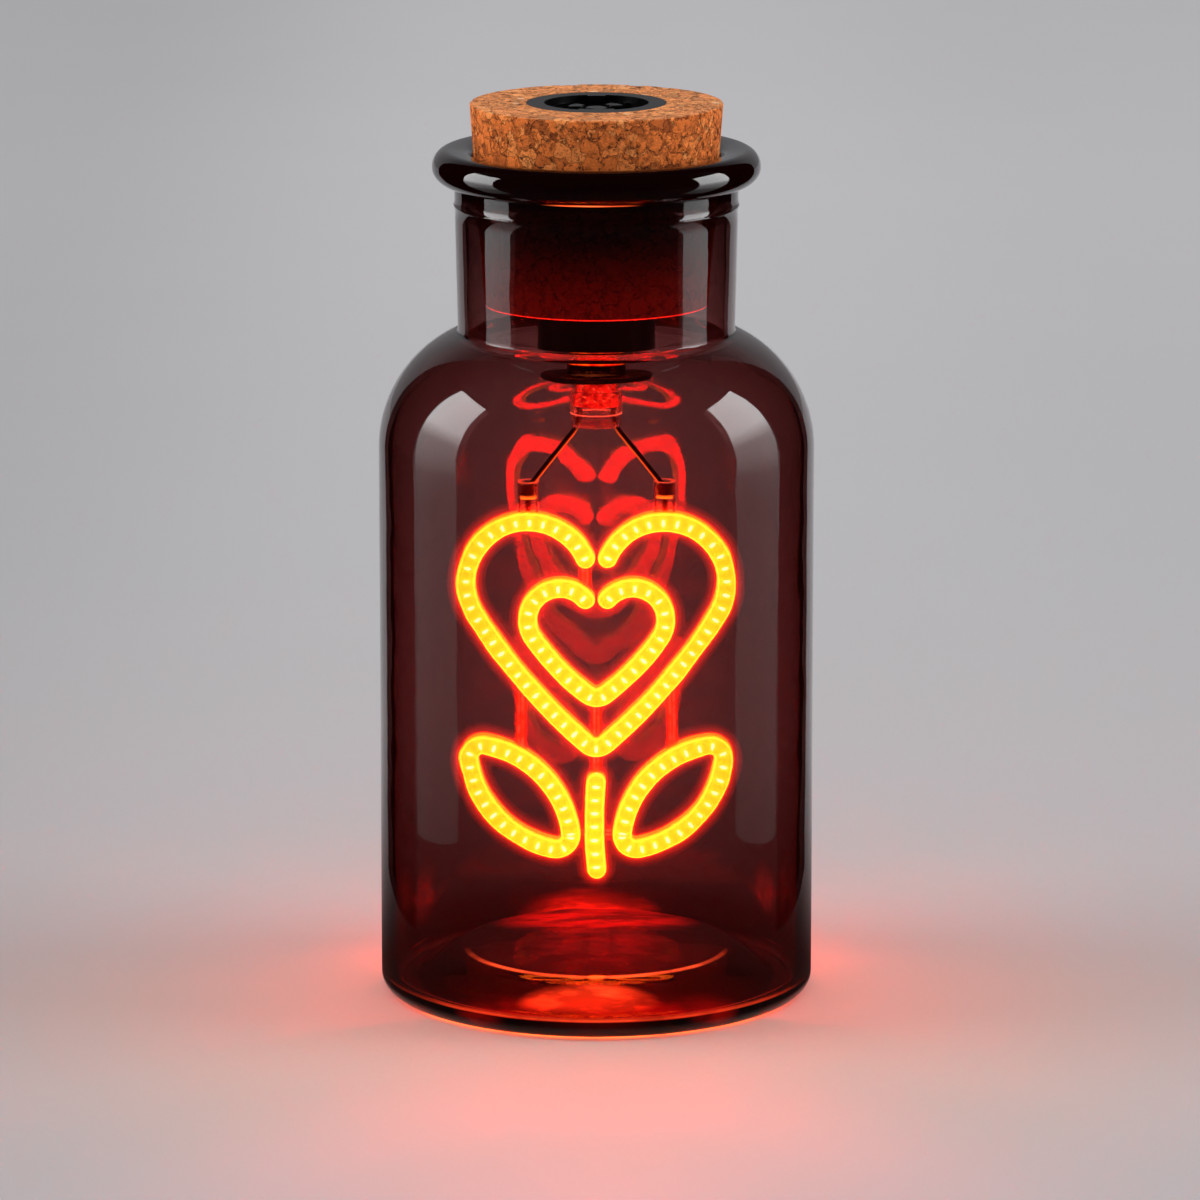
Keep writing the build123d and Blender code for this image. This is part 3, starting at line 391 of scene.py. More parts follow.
def hard_plastic(name, base, roughness, grain_scale=3000.0, dust=0.25):
    """Moulded plastic with a fine grain and a trace of dust."""
    material, tree, shader = new_material(name)
    wear = use_group(tree, "fine_wear", {"Grain Scale": grain_scale, "Dust": dust, "Scratches": 0.3})
    pale = tuple(0.75 * part + 0.02 for part in base)
    shader.inputs["Specular IOR Level"].default_value = 0.14
    tint = blend(tree, wear.outputs["Dust Mask"], base, pale)
    tree.links.new(tint, shader.inputs["Base Color"])
    tree.links.new(maths(tree, "ADD", wear.outputs["Roughness Shift"], roughness), shader.inputs["Roughness"])
    relief(tree, shader, wear.outputs["Height"], 0.00004, 0.35)
    return material


def drawn_metal(name, base, tarnish):
    material, tree, shader = new_material(name)
    lines = use_group(tree, "drawn_lines", {"Colour": (*base, 1.0), "Tarnish": tarnish})
    tree.links.new(lines.outputs["Colour"], shader.inputs["Base Color"])
    tree.links.new(lines.outputs["Roughness"], shader.inputs["Roughness"])
    shader.inputs["Metallic"].default_value = 1.0
    relief(tree, shader, lines.outputs["Height"], 0.00002, 0.3)
    return material


def shadow_through(tree, shader, tint):
    """Lets lamp light through clear material in place of a black shadow."""
    path = node(tree, "ShaderNodeLightPath")
    clear = node(tree, "ShaderNodeBsdfTransparent", {"Color": (*tint, 1.0)})
    mix = node(tree, "ShaderNodeMixShader", {0: path.outputs["Is Shadow Ray"]})
    tree.links.new(shader.outputs[0], mix.inputs[1])
    tree.links.new(clear.outputs[0], mix.inputs[2])
    tree.links.new(mix.outputs["Shader"], tree.nodes["Material Output"].inputs["Surface"])


def distance(tree, first, second):
    """Length of a flat vector given by two values."""
    squares = maths(tree, "ADD", maths(tree, "POWER", first, 2.0), maths(tree, "POWER", second, 2.0))
    return maths(tree, "SQRT", squares)


def soft_spot(tree, where, centre, size):
    """Mask of an oval blob, 1 in its middle and 0 outside."""
    moved = node(tree, "ShaderNodeVectorMath", {0: where, 1: centre}, operation="SUBTRACT").outputs[0]
    shrunk = node(tree, "ShaderNodeVectorMath", {0: moved, 1: size}, operation="DIVIDE").outputs[0]
    reach = node(tree, "ShaderNodeVectorMath", {0: shrunk}, operation="LENGTH").outputs["Value"]
    return spread(tree, reach, 0.3, 1.0, 1.0, 0.0)


def painted_sign_light(tree, where, top):
    """Painted light: emission colour for the sign's light where the foot, the punt and the lip's underside catch it."""
    flat = node(tree, "ShaderNodeSeparateXYZ", {0: where})
    across, depth, height = flat.outputs[0], flat.outputs[1], flat.outputs[2]
    radius = distance(tree, across, depth)
    front = spread(tree, maths(tree, "DIVIDE", depth, maths(tree, "MULTIPLY", radius, -1.0)), 0.1, 0.95)
    patchy = spread(tree, clouds(tree, where, 70.0, 3.0, 0.6), 0.35, 0.62, 0.35, 1.0)
    lines = None
    for reach, rise, width, share in PAINTED_LIGHT_RINGS:
        away = distance(tree, maths(tree, "SUBTRACT", radius, reach), maths(tree, "SUBTRACT", height, rise))
        ring = spread(tree, away, width * 0.5, width * 2.0, share, 0.0)
        lines = ring if lines is None else maths(tree, "ADD", lines, ring)
    lines = maths(tree, "MULTIPLY", maths(tree, "MULTIPLY", lines, front), patchy)
    painted_under_lip = soft_spot(tree, where, (-0.002, -0.0372, top - 0.0087), (0.0145, 0.004, 0.0006))
    lines = maths(tree, "ADD", lines, maths(tree, "MULTIPLY", maths(tree, "MULTIPLY", painted_under_lip, patchy), 0.5))
    painted_glow = blend(tree, lines, (0.0, 0.0, 0.0), (4.5, 0.60, 0.14))
    stretched = node(tree, "ShaderNodeMapping", {"Vector": where, "Scale": (0.4, 1.0, 1.6)}).outputs["Vector"]
    streaks = spread(tree, clouds(tree, stretched, 130.0, 4.0, 0.6), 0.40, 0.62, 0.25, 1.0)
    for centre, size, tint in PAINTED_LIGHT_PATCHES:
        share = maths(tree, "MULTIPLY", soft_spot(tree, where, centre, size), streaks)
        patch = blend(tree, share, (0.0, 0.0, 0.0), tint)
        added = node(tree, "ShaderNodeMix", data_type="RGBA", blend_type="ADD")
        added.inputs[0].default_value = 1.0
        tree.links.new(painted_glow, added.inputs[6])
        tree.links.new(patch, added.inputs[7])
        painted_glow = added.outputs[2]
    return painted_glow


def smoky_glass(settings):
    """Tinted bottle glass: the colour comes from depth and from tints by height, with painted shade over the upper
    neck, painted light from the sign, a slight wave and a trace of dust.
    """
    material, tree, shader = new_material("smoky_glass")
    where = place(tree)
    # The glass's emission is painted light from the sign.
    tree.links.new(painted_sign_light(tree, where, settings.height), shader.inputs["Emission Color"])
    shader.inputs["Emission Strength"].default_value = 1.0
    speck = cells(tree, where, 900.0)
    specks = spread(tree, speck.outputs["Distance"], 0.03, 0.09, 1.0, 0.0)
    rare = maths(tree, "GREATER_THAN", clouds(tree, where, 260.0, 1.0), 0.66)
    specks = maths(tree, "MULTIPLY", specks, rare)
    height = node(tree, "ShaderNodeSeparateXYZ", {0: where}).outputs[2]
    lip_low = settings.height - 0.0115
    thick = spread(tree, height, lip_low, lip_low + 0.0022)
    # Painted shade: the glass is tinted darker over the upper neck, which darkens the cork and module seen through it.
    neck = spread(tree, height, lip_low - 0.038, lip_low - 0.002, 0.0, 0.55)
    tint = blend(tree, neck, tuple(settings.surface), tuple(part * 0.45 for part in settings.surface))
    tint = blend(tree, spread(tree, height, 0.009, 0.018, 1.0, 0.0), tint, tuple(settings.foot))
    tree.links.new(blend(tree, thick, tint, tuple(settings.lip)), shader.inputs["Base Color"])
    tree.links.new(spread(tree, specks, 0.0, 1.0, 0.0, 0.25, "LINEAR"), shader.inputs["Roughness"])
    shader.inputs["IOR"].default_value = 1.5
    shader.inputs["Transmission Weight"].default_value = 1.0
    wave = clouds(tree, where, 34.0, 2.0, 0.45)
    relief(tree, shader, wave, 0.0010, 0.3)
    depth = node(tree, "ShaderNodeVolumeAbsorption", {"Density": settings.density})
    depth.inputs["Color"].default_value = (*settings.tint, 1.0)
    tree.links.new(depth.outputs["Volume"], tree.nodes["Material Output"].inputs["Volume"])
    dust = node(tree, "ShaderNodeBsdfDiffuse", {"Color": (0.9, 0.03, 0.02, 1.0)})
    film = node(tree, "ShaderNodeMixShader", {0: settings.film})
    tree.links.new(shader.outputs["BSDF"], film.inputs[1])
    tree.links.new(dust.outputs["BSDF"], film.inputs[2])
    shadow_through(tree, film, (0.80, 0.58, 0.57))
    return material


def pressed_cork(settings):
    """Cork granules of two sizes pressed together, with dark cracks, pores and a few pale chips, a painted lighter top,
    painted shade inside the neck and painted red light from below.
    """
    material, tree, shader = new_material("pressed_cork")
    where = place(tree)
    warp = node(tree, "ShaderNodeTexNoise", {"Vector": where, "Scale": 520.0, "Detail": 4.0, "Roughness": 0.65})
    shift = node(tree, "ShaderNodeVectorMath", {0: warp.outputs["Color"], "Scale": 0.0038}, operation="SCALE")
    moved = node(tree, "ShaderNodeVectorMath", {0: where, 1: shift.outputs[0]}, operation="ADD").outputs[0]
    scale = 1.0 / settings.granule
    large = cells(tree, moved, scale)
    large_rim = cells(tree, moved, scale, "DISTANCE_TO_EDGE")
    small = cells(tree, moved, scale * 2.3)
    small_rim = cells(tree, moved, scale * 2.3, "DISTANCE_TO_EDGE")
    pick = node(tree, "ShaderNodeSeparateColor", {0: large.outputs["Color"]})
    fine = node(tree, "ShaderNodeSeparateColor", {0: small.outputs["Color"]})
    broken = maths(tree, "GREATER_THAN", pick.outputs[0], 0.52)
    tone = maths(tree, "ADD", maths(tree, "MULTIPLY", pick.outputs[1], maths(tree, "SUBTRACT", 1.0, broken)),
                 maths(tree, "MULTIPLY", fine.outputs[1], broken))
    ramp = node(tree, "ShaderNodeValToRGB", {0: tone})
    stops = ramp.color_ramp.elements
    stops[0].position, stops[0].color = 0.0, (*settings.dark, 1.0)
    stops[1].position, stops[1].color = 1.0, (*settings.pale, 1.0)
    for position, share in ((0.22, settings.middle), (0.72, settings.middle)):
        stop = stops.new(position)
        stop.color = (*share, 1.0)
    stops[2].color = (settings.middle[0] * 1.25, settings.middle[1] * 1.3, settings.middle[2] * 1.3, 1.0)
    fibre = node(tree, "ShaderNodeMapping", {"Vector": moved, "Scale": (1.0, 1.0, 2.2)})
    cloud = clouds(tree, fibre.outputs["Vector"], 1500.0, 4.0, 0.65)
    mottled = node(tree, "ShaderNodeHueSaturation", {
        "Color": ramp.outputs["Color"], "Value": spread(tree, cloud, 0.3, 0.7, 0.62, 1.34, "LINEAR"),
    })
    rim = spread(tree, large_rim.outputs["Distance"], 0.0, 0.07, 1.0, 0.0)
    small_crack = maths(tree, "MULTIPLY", spread(tree, small_rim.outputs["Distance"], 0.0, 0.08, 1.0, 0.0), broken)
    crack = maths(tree, "MAXIMUM", rim, small_crack)
    open_here = spread(tree, clouds(tree, where, 520.0, 2.0, 0.6), 0.42, 0.62)
    crack = maths(tree, "MULTIPLY", crack, spread(tree, open_here, 0.0, 1.0, 0.34, 1.0, "LINEAR"))
    pore_cell = cells(tree, moved, scale * 3.1)
    pore = spread(tree, pore_cell.outputs["Distance"], 0.10, 0.22, 1.0, 0.0)
    pore = maths(tree, "MULTIPLY", pore, maths(tree, "GREATER_THAN", clouds(tree, where, 330.0, 2.0), 0.50))
    hair_rim = cells(tree, moved, scale * 5.5, "DISTANCE_TO_EDGE")
    hair = maths(tree, "MULTIPLY", spread(tree, hair_rim.outputs["Distance"], 0.0, 0.10, 0.75, 0.0),
                 spread(tree, clouds(tree, where, 640.0, 2.0), 0.48, 0.60))
    hollow = maths(tree, "MAXIMUM", maths(tree, "MAXIMUM", crack, pore), hair)
    tint = blend(tree, hollow, mottled.outputs["Color"], settings.pore)
    chip_cell = cells(tree, where, scale * 1.35)
    chip_pick = node(tree, "ShaderNodeSeparateColor", {0: chip_cell.outputs["Color"]})
    chip = maths(tree, "MULTIPLY", maths(tree, "GREATER_THAN", chip_pick.outputs[2], 0.975),
                 spread(tree, chip_cell.outputs["Distance"], 0.30, 0.36, 1.0, 0.0))
    tint = blend(tree, chip, tint, (0.86, 0.52, 0.30))
    # Painted light: faces that point up are tinted lighter and more golden, except in the hollows.
    facing = node(tree, "ShaderNodeNewGeometry")
    up = node(tree, "ShaderNodeSeparateXYZ", {0: facing.outputs["True Normal"]}).outputs[2]
    top = spread(tree, up, 0.6, 0.9)
    painted_top_tint = blend(tree, 0.42, tint, (0.66, 0.36, 0.16))
    lighter = node(tree, "ShaderNodeHueSaturation", {"Color": painted_top_tint, "Value": 1.1})
    tint = blend(tree, top, tint, blend(tree, hollow, lighter.outputs["Color"], tint))
    level = node(tree, "ShaderNodeSeparateXYZ", {0: where}).outputs[2]
    low = CORK_LOW.z
    # Painted shade: the cork is darker where it sits in the closed bottle's neck, also when the stopper rises.
    painted_neck_shade = spread(tree, level, BOTTLE_HIGH.z - 0.006, BOTTLE_HIGH.z - 0.002, 0.16, 1.0)
    tint = node(tree, "ShaderNodeHueSaturation", {"Color": tint, "Value": painted_neck_shade}).outputs["Color"]
    # Painted light: red emission along the cork's lower rim and fading up its lower part, weaker in the hollows, for
    # the sign's light from below.
    painted_rim_light = maths(tree, "MULTIPLY", spread(tree, level, low + 0.0001, low + 0.0005, 1.0, 0.0),
                      spread(tree, cloud, 0.36, 0.56, 0.15, 1.0))
    painted_under_glow = maths(tree, "MULTIPLY", spread(tree, level, low, low + 0.022, 1.0, 0.0), 0.22)
    painted_red_glow = blend(tree, painted_under_glow, (0.0, 0.0, 0.0), blend(tree, hollow, (1.0, 0.02, 0.006), (0.15, 0.0, 0.0)))
    tree.links.new(blend(tree, painted_rim_light, painted_red_glow, (6.0, 0.12, 0.06)), shader.inputs["Emission Color"])
    shader.inputs["Emission Strength"].default_value = 1.0
    shader.inputs["Specular IOR Level"].default_value = 0.2
    tree.links.new(tint, shader.inputs["Base Color"])
    tree.links.new(spread(tree, cloud, 0.3, 0.7, 0.72, 0.92, "LINEAR"), shader.inputs["Roughness"])
    height = maths(tree, "SUBTRACT", maths(tree, "MULTIPLY", cloud, 0.35), hollow)
    relief(tree, shader, height, 0.00028, 0.9)
    return material


def clear_plastic(name, tint, roughness, rims=()):
    """Clear tube with fine rubbing marks, with painted highlights at the given rim heights and a faint painted red glow
    elsewhere.
    """
    material, tree, shader = new_material(name)
    shader.inputs["Base Color"].default_value = (*tint, 1.0)
    shader.inputs["IOR"].default_value = 1.46
    shader.inputs["Transmission Weight"].default_value = 1.0
    wear = use_group(tree, "fine_wear", {"Grain Scale": 900.0, "Dust": 0.3, "Scratches": 0.6})
    tree.links.new(maths(tree, "ADD", wear.outputs["Roughness Shift"], roughness), shader.inputs["Roughness"])
    relief(tree, shader, wear.outputs["Height"], 0.00005, 0.25)
    level = node(tree, "ShaderNodeSeparateXYZ", {0: place(tree)}).outputs[2]
    # Painted light: emission bands at the rims and a faint red emission between them.
    lit = 0.0
    for rim in rims:
        away = maths(tree, "ABSOLUTE", maths(tree, "SUBTRACT", level, rim))
        lit = maths(tree, "MAXIMUM", spread(tree, away, 0.00008, 0.00030, 1.0, 0.0), lit)
    if rims:
        tree.links.new(blend(tree, lit, (0.05, 0.0, 0.0), (1.1, 0.16, 0.08)), shader.inputs["Emission Color"])
        shader.inputs["Emission Strength"].default_value = 1.0
    shadow_through(tree, shader, tint)
    return material


def painted_underside_glow(name, base, light, low, high):
    """Dark moulded cover with painted light: emission on its downward faces for the sign's light."""
    material = hard_plastic(name, base, 0.25, 5000.0, 0.1)
    tree, shader = material.node_tree, material.node_tree.nodes["Principled BSDF"]
    normal = node(tree, "ShaderNodeTexCoord").outputs["Normal"]
    down = maths(tree, "MULTIPLY", node(tree, "ShaderNodeSeparateXYZ", {0: normal}).outputs[2], -1.0)
    tree.links.new(blend(tree, spread(tree, down, low, high), (0.0, 0.0, 0.0), light), shader.inputs["Emission Color"])
    shader.inputs["Emission Strength"].default_value = 1.0
    return material


def painted_glow_resin():
    """Cloudy resin whose red glow and small glints are painted light."""
    material, tree, shader = new_material("painted_glow_resin")
    where = place(tree)
    bead = cells(tree, where, 900.0)
    cloud = clouds(tree, where, 420.0, 4.0, 0.7)
    painted_glint = maths(tree, "MULTIPLY", spread(tree, bead.outputs["Distance"], 0.12, 0.34, 1.0, 0.0),
                  spread(tree, cloud, 0.42, 0.62))
    shader.inputs["Base Color"].default_value = (0.55, 0.03, 0.015, 1.0)
    tree.links.new(spread(tree, cloud, 0.3, 0.7, 0.12, 0.4, "LINEAR"), shader.inputs["Roughness"])
    # Painted light: a cloudy red emission with painted glints.
    low = blend(tree, spread(tree, cloud, 0.35, 0.65), (0.35, 0.003, 0.001), (3.2, 0.06, 0.03))
    tree.links.new(blend(tree, painted_glint, low, (5.0, 0.9, 0.4)), shader.inputs["Emission Color"])
    shader.inputs["Emission Strength"].default_value = 1.0
    relief(tree, shader, cloud, 0.0004, 0.7)
    return material


def glowing_silicone(name, settings, first, stretch):
    """Milky silicone lit from inside: bright spots over the chips, a clear edge and redder sides.

    The mesh carries run (distance along the tube), across (from its middle) and depth (from the front).
    """
    material, tree, shader = new_material(name)
    along = node(tree, "ShaderNodeAttribute", attribute_name="run").outputs["Fac"]
    across = maths(tree, "ABSOLUTE", node(tree, "ShaderNodeAttribute", attribute_name="across").outputs["Fac"])
    depth = node(tree, "ShaderNodeAttribute", attribute_name="depth").outputs["Fac"]
    turns = maths(tree, "DIVIDE", maths(tree, "SUBTRACT", along, first - settings.pitch * 0.5), settings.pitch)
    offset = maths(tree, "ABSOLUTE", maths(tree, "SUBTRACT", maths(tree, "FRACT", turns), 0.5))
    offset = maths(tree, "MULTIPLY", offset, settings.pitch)
    reach = maths(tree, "ADD", maths(tree, "POWER", maths(tree, "DIVIDE", offset, 0.00048), 2.0),
                  maths(tree, "POWER", maths(tree, "DIVIDE", across, stretch), 2.0))
    spot = spread(tree, reach, 0.25, 1.4, 1.0, 0.0)
    band = spread(tree, offset, 0.0004, settings.pitch * 0.5, 1.0, 0.0)
    half = settings.width * 0.5
    wall = spread(tree, maths(tree, "ABSOLUTE", maths(tree, "SUBTRACT", across, half * 0.83)), 0.0, half * 0.10, 1.0, 0.0)
    side = spread(tree, depth, 0.0015, 0.0027)
    base = tuple(settings.glow)
    warm = (base[0], base[1] * 0.80, base[2] * 0.6)
    tint = blend(tree, band, warm, base)
    tint = blend(tree, wall, tint, tuple(settings.edge))
    tint = blend(tree, side, tint, tuple(settings.side))
    tint = blend(tree, maths(tree, "MULTIPLY", spot, maths(tree, "SUBTRACT", 1.0, side)), tint, tuple(settings.chip))
    back = spread(tree, depth, 0.0050, 0.0058)
    level = node(tree, "ShaderNodeSeparateXYZ", {0: place(tree)}).outputs[2]
    behind = blend(tree, spread(tree, level, 0.075, 0.11), (2.5, 0.04, 0.015), (11.0, 0.15, 0.06))
    tint = blend(tree, back, tint, behind)
    tree.links.new(tint, shader.inputs["Emission Color"])
    shader.inputs["Emission Strength"].default_value = settings.power
    shader.inputs["Base Color"].default_value = (0.8, 0.35, 0.08, 1.0)
    grain = clouds(tree, place(tree), 700.0, 3.0)
    tree.links.new(spread(tree, grain, 0.3, 0.7, 0.3, 0.5, "LINEAR"), shader.inputs["Roughness"])
    relief(tree, shader, grain, 0.0001, 0.3)
    material.cycles.emission_sampling = "NONE"
    return material


def painted_halo(name, tint, strength):
    """Faint painted glow: emission that fills a shape round the tubes."""
    material, tree, shader = new_material(name)
    tree.nodes.remove(shader)
    glow = node(tree, "ShaderNodeEmission", {"Color": (*tint, 1.0), "Strength": strength})
    tree.links.new(glow.outputs[0], tree.nodes["Material Output"].inputs["Volume"])
    return material


def link_plastic():
    """Clear sleeve between strokes, with a painted red glow."""
    material, tree, shader = new_material("painted_glow_sleeve")
    where = place(tree)
    cloud = clouds(tree, where, 500.0, 3.0)
    shader.inputs["Base Color"].default_value = (0.5, 0.06, 0.04, 1.0)
    shader.inputs["Alpha"].default_value = 0.32
    tree.links.new(spread(tree, cloud, 0.3, 0.7, 0.1, 0.3, "LINEAR"), shader.inputs["Roughness"])
    tree.links.new(blend(tree, spread(tree, cloud, 0.35, 0.65), (0.45, 0.012, 0.004), (1.0, 0.06, 0.02)),
                   shader.inputs["Emission Color"])
    shader.inputs["Emission Strength"].default_value = 1.0
    relief(tree, shader, cloud, 0.0001, 0.3)
    return material


def dress(material, *names, smooth=False):
    """Gives carried-over parts of the frame their finish."""
    for name in names:
        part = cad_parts[name]
        part.data.materials.clear()
        part.data.materials.append(material)


# Bottle

def bottle_profile(settings):
    """Wall section of the bottle, from the middle of the foot up the outside and down the inside."""
    body, wall, top = settings.radius / MM, settings.wall / MM, settings.height / MM
    shoulder, throat, crest = 32.3, 30.8, 37.3
    bore, neck_low, neck_high, flange = 32.2, 34.9, 35.7, 41.25
    under, root = top - 9.0, top - 46.0
    middle = top - 4.5
    centre = body - shoulder
    rise = math.degrees(math.acos((neck_low - centre) / shoulder))
    shoulder_z = root - shoulder * math.sin(math.radians(rise))
    inner = shoulder - wall
    inner_rise = math.degrees(math.acos((bore - centre) / inner))
    points = [(0.0, 8.8)] + run((0.0, 8.8), (18.0, 8.55), 4) + run((18.0, 8.55), (31.0, 7.3), 4)
    points += [(32.6, 6.9), (34.0, 6.1)] + run((34.0, 6.1), (43.2, 0.45), 4) + [(43.7, 0.12), (44.4, 0.0)]
    points += run((44.4, 0.0), (body - 4.3, 0.0), 3) + arc(body - 4.3, 4.3, 4.3, -90, 0, 12)[1:]
    points += run((body, 4.3), (body, shoulder_z), 24)
    points += arc(centre, shoulder_z, shoulder, 0, rise - 1.4, 48)[1:]
    points += [(neck_low + 0.28, root - 0.25), (neck_low + 0.04, root + 0.35), (neck_low + 0.02, root + 1.1)]
    bead = under - 5.0
    bead_r = neck_low + (neck_high - neck_low) * (bead - root) / 37.0
    points += run((neck_low + 0.02, root + 1.1), (bead_r, bead - 0.45), 10)
    points += [(bead_r + 0.18, bead - 0.28), (bead_r + 0.3, bead), (bead_r + 0.18, bead + 0.28), (bead_r, bead + 0.45)]
    points += run((bead_r, bead + 0.45), (neck_high, under), 3)
    points += oval(neck_high, middle, flange - neck_high, 4.5, -90, 0, 16)[1:]
    points += oval(crest, middle, flange - crest, 4.5, 0, 90, 14)[1:]
    points += [(35.4, top - 0.2), (33.4, top - 0.42), (32.3, top - 0.7), (31.4, top - 1.4), (throat + 0.1, top - 2.3)]
    points += [(throat, top - 2.9), (throat, top - 5.4), (throat, top - 7.9)]
    points += run((throat, top - 7.9), (bore, top - 12.4), 4)
    points += run((bore, top - 12.4), (bore, root + 2.0), 10) + [(bore + 0.15, root - 0.6), (bore + 0.8, root - 2.4)]
    points += arc(centre, shoulder_z, inner, inner_rise - 4.5, 0, 44)
    points += run((body - wall, shoulder_z), (body - wall, 6.8), 24)
    points += arc(body - wall - 3.2, 6.8, 3.2, 0, -90, 8)[1:]
    points += [(46.9, 3.62), (45.6, 3.9), (44.2, 4.7)] + run((44.2, 4.7), (37.2, 9.9), 4)
    points += [(35.6, 10.7), (33.6, 11.2)] + run((33.6, 11.2), (18.0, 12.35), 5) + run((18.0, 12.35), (0.0, 12.6), 4)
    return [(radius * MM, height * MM) for radius, height in points]


class BOTTLELIGHT_OT_bottle(bpy.types.Operator):
    """Turn the glass bottle with its mould seams"""
    bl_idname = "bottle_light.bottle"
    bl_label = "Build Bottle"

    def execute(self, context):
        settings = context.scene.bottle_light_bottle
        shape = lathe(bottle_profile(settings), 320, True)
        seams = [math.radians(232.1), math.radians(52.1)]
        for vertex in shape.verts:
            radius = math.hypot(vertex.co.x, vertex.co.y)
            if radius < settings.radius - 0.0002 or vertex.co.z < 0.004:
                continue
            turn = math.atan2(vertex.co.y, vertex.co.x) % math.tau
            gap = min(abs(turn - seam) for seam in seams) * radius
            if gap < 0.0006:
                swell = 1.0 + settings.seam_height / radius
                vertex.co.x *= swell
                vertex.co.y *= swell
        mesh_piece(
            "bottle", shape, "bottle", smoky_glass(settings), ["bottle_glass"], smooth=80.0,
        )
        return {"FINISHED"}


# Cork

def granule_depth(point, size):
    """How deep a point lies in the cracks between granules, from 0 on a granule to 1 in a crack."""
    distances, places = noise.voronoi(point / size, distance_metric="DISTANCE", exponent=2.0)
    rim = distances[1] - distances[0]
    return max(0.0, 1.0 - rim / 0.16), places[0]


class BOTTLELIGHT_OT_cork(bpy.types.Operator):
    """Turn the bored cork and break its edges like pressed granules"""
    bl_idname = "bottle_light.cork"
    bl_label = "Build Cork"

    def execute(self, context):
        settings = context.scene.bottle_light_cork
        low, high = CORK_LOW.z / MM, CORK_HIGH.z / MM
        top_r = CORK_HIGH.x / MM
        low_r = top_r - 0.0714 * (high - low)
        bore, ring = 14.80, 17.60
        ledge = high - 1.65
        profile = [(bore, low)] + run((bore, low), (low_r - 0.5, low), 16)
        profile += arc(low_r - 0.5, low + 0.5, 0.5, -90, -4, 3)[1:]
        profile += run((low_r, low + 0.55), (top_r, high - 0.55), 84)
        profile += arc(top_r - 0.5, high - 0.5, 0.5, 4, 90, 3)
        profile += run((top_r - 0.5, high), (ring, high), 24)
        profile += [(ring, ledge), (bore, ledge)] + run((bore, ledge), (bore, low + 1.0), 4)
        shape = lathe([(radius * MM, height * MM) for radius, height in profile], 360, True)
        for vertex in shape.verts:
            radius = math.hypot(vertex.co.x, vertex.co.y)
            if radius < ring * MM + 0.0004 and vertex.co.z > CORK_LOW.z + 0.0005:
                continue
            outward = Vector((vertex.co.x, vertex.co.y, 0.0)).normalized()
            crack, centre = granule_depth(vertex.co, settings.granule * 0.8)
            pick = noise.cell(centre * 7.31)
            sink = max(0.0, 0.00016 * crack * (0.35 + 0.65 * noise.cell(centre * 3.7 + Vector((5, 1, 2)))))
            edge = max(0.0, 1.0 - (CORK_HIGH.z - vertex.co.z) / 0.0016) if radius > top_r * MM - 0.0016 else 0.0
            if edge > 0.0 and pick > 0.70:
                sink += settings.chip_depth * edge * (pick - 0.55)
            if abs(vertex.co.z - CORK_HIGH.z) < 0.00002 and radius < top_r * MM - 0.0007:
                vertex.co.z -= sink
            elif abs(vertex.co.z - CORK_LOW.z) < 0.00002:
                vertex.co.z += sink
            else:
                vertex.co -= outward * sink
                vertex.co.z -= 0.5 * sink * (1.0 if edge > 0.0 else 0.0)
        mesh_piece(
            "cork", shape, "stopper", pressed_cork(settings), ["cork_stopper"], smooth=50.0,
        )
        return {"FINISHED"}


# Battery module

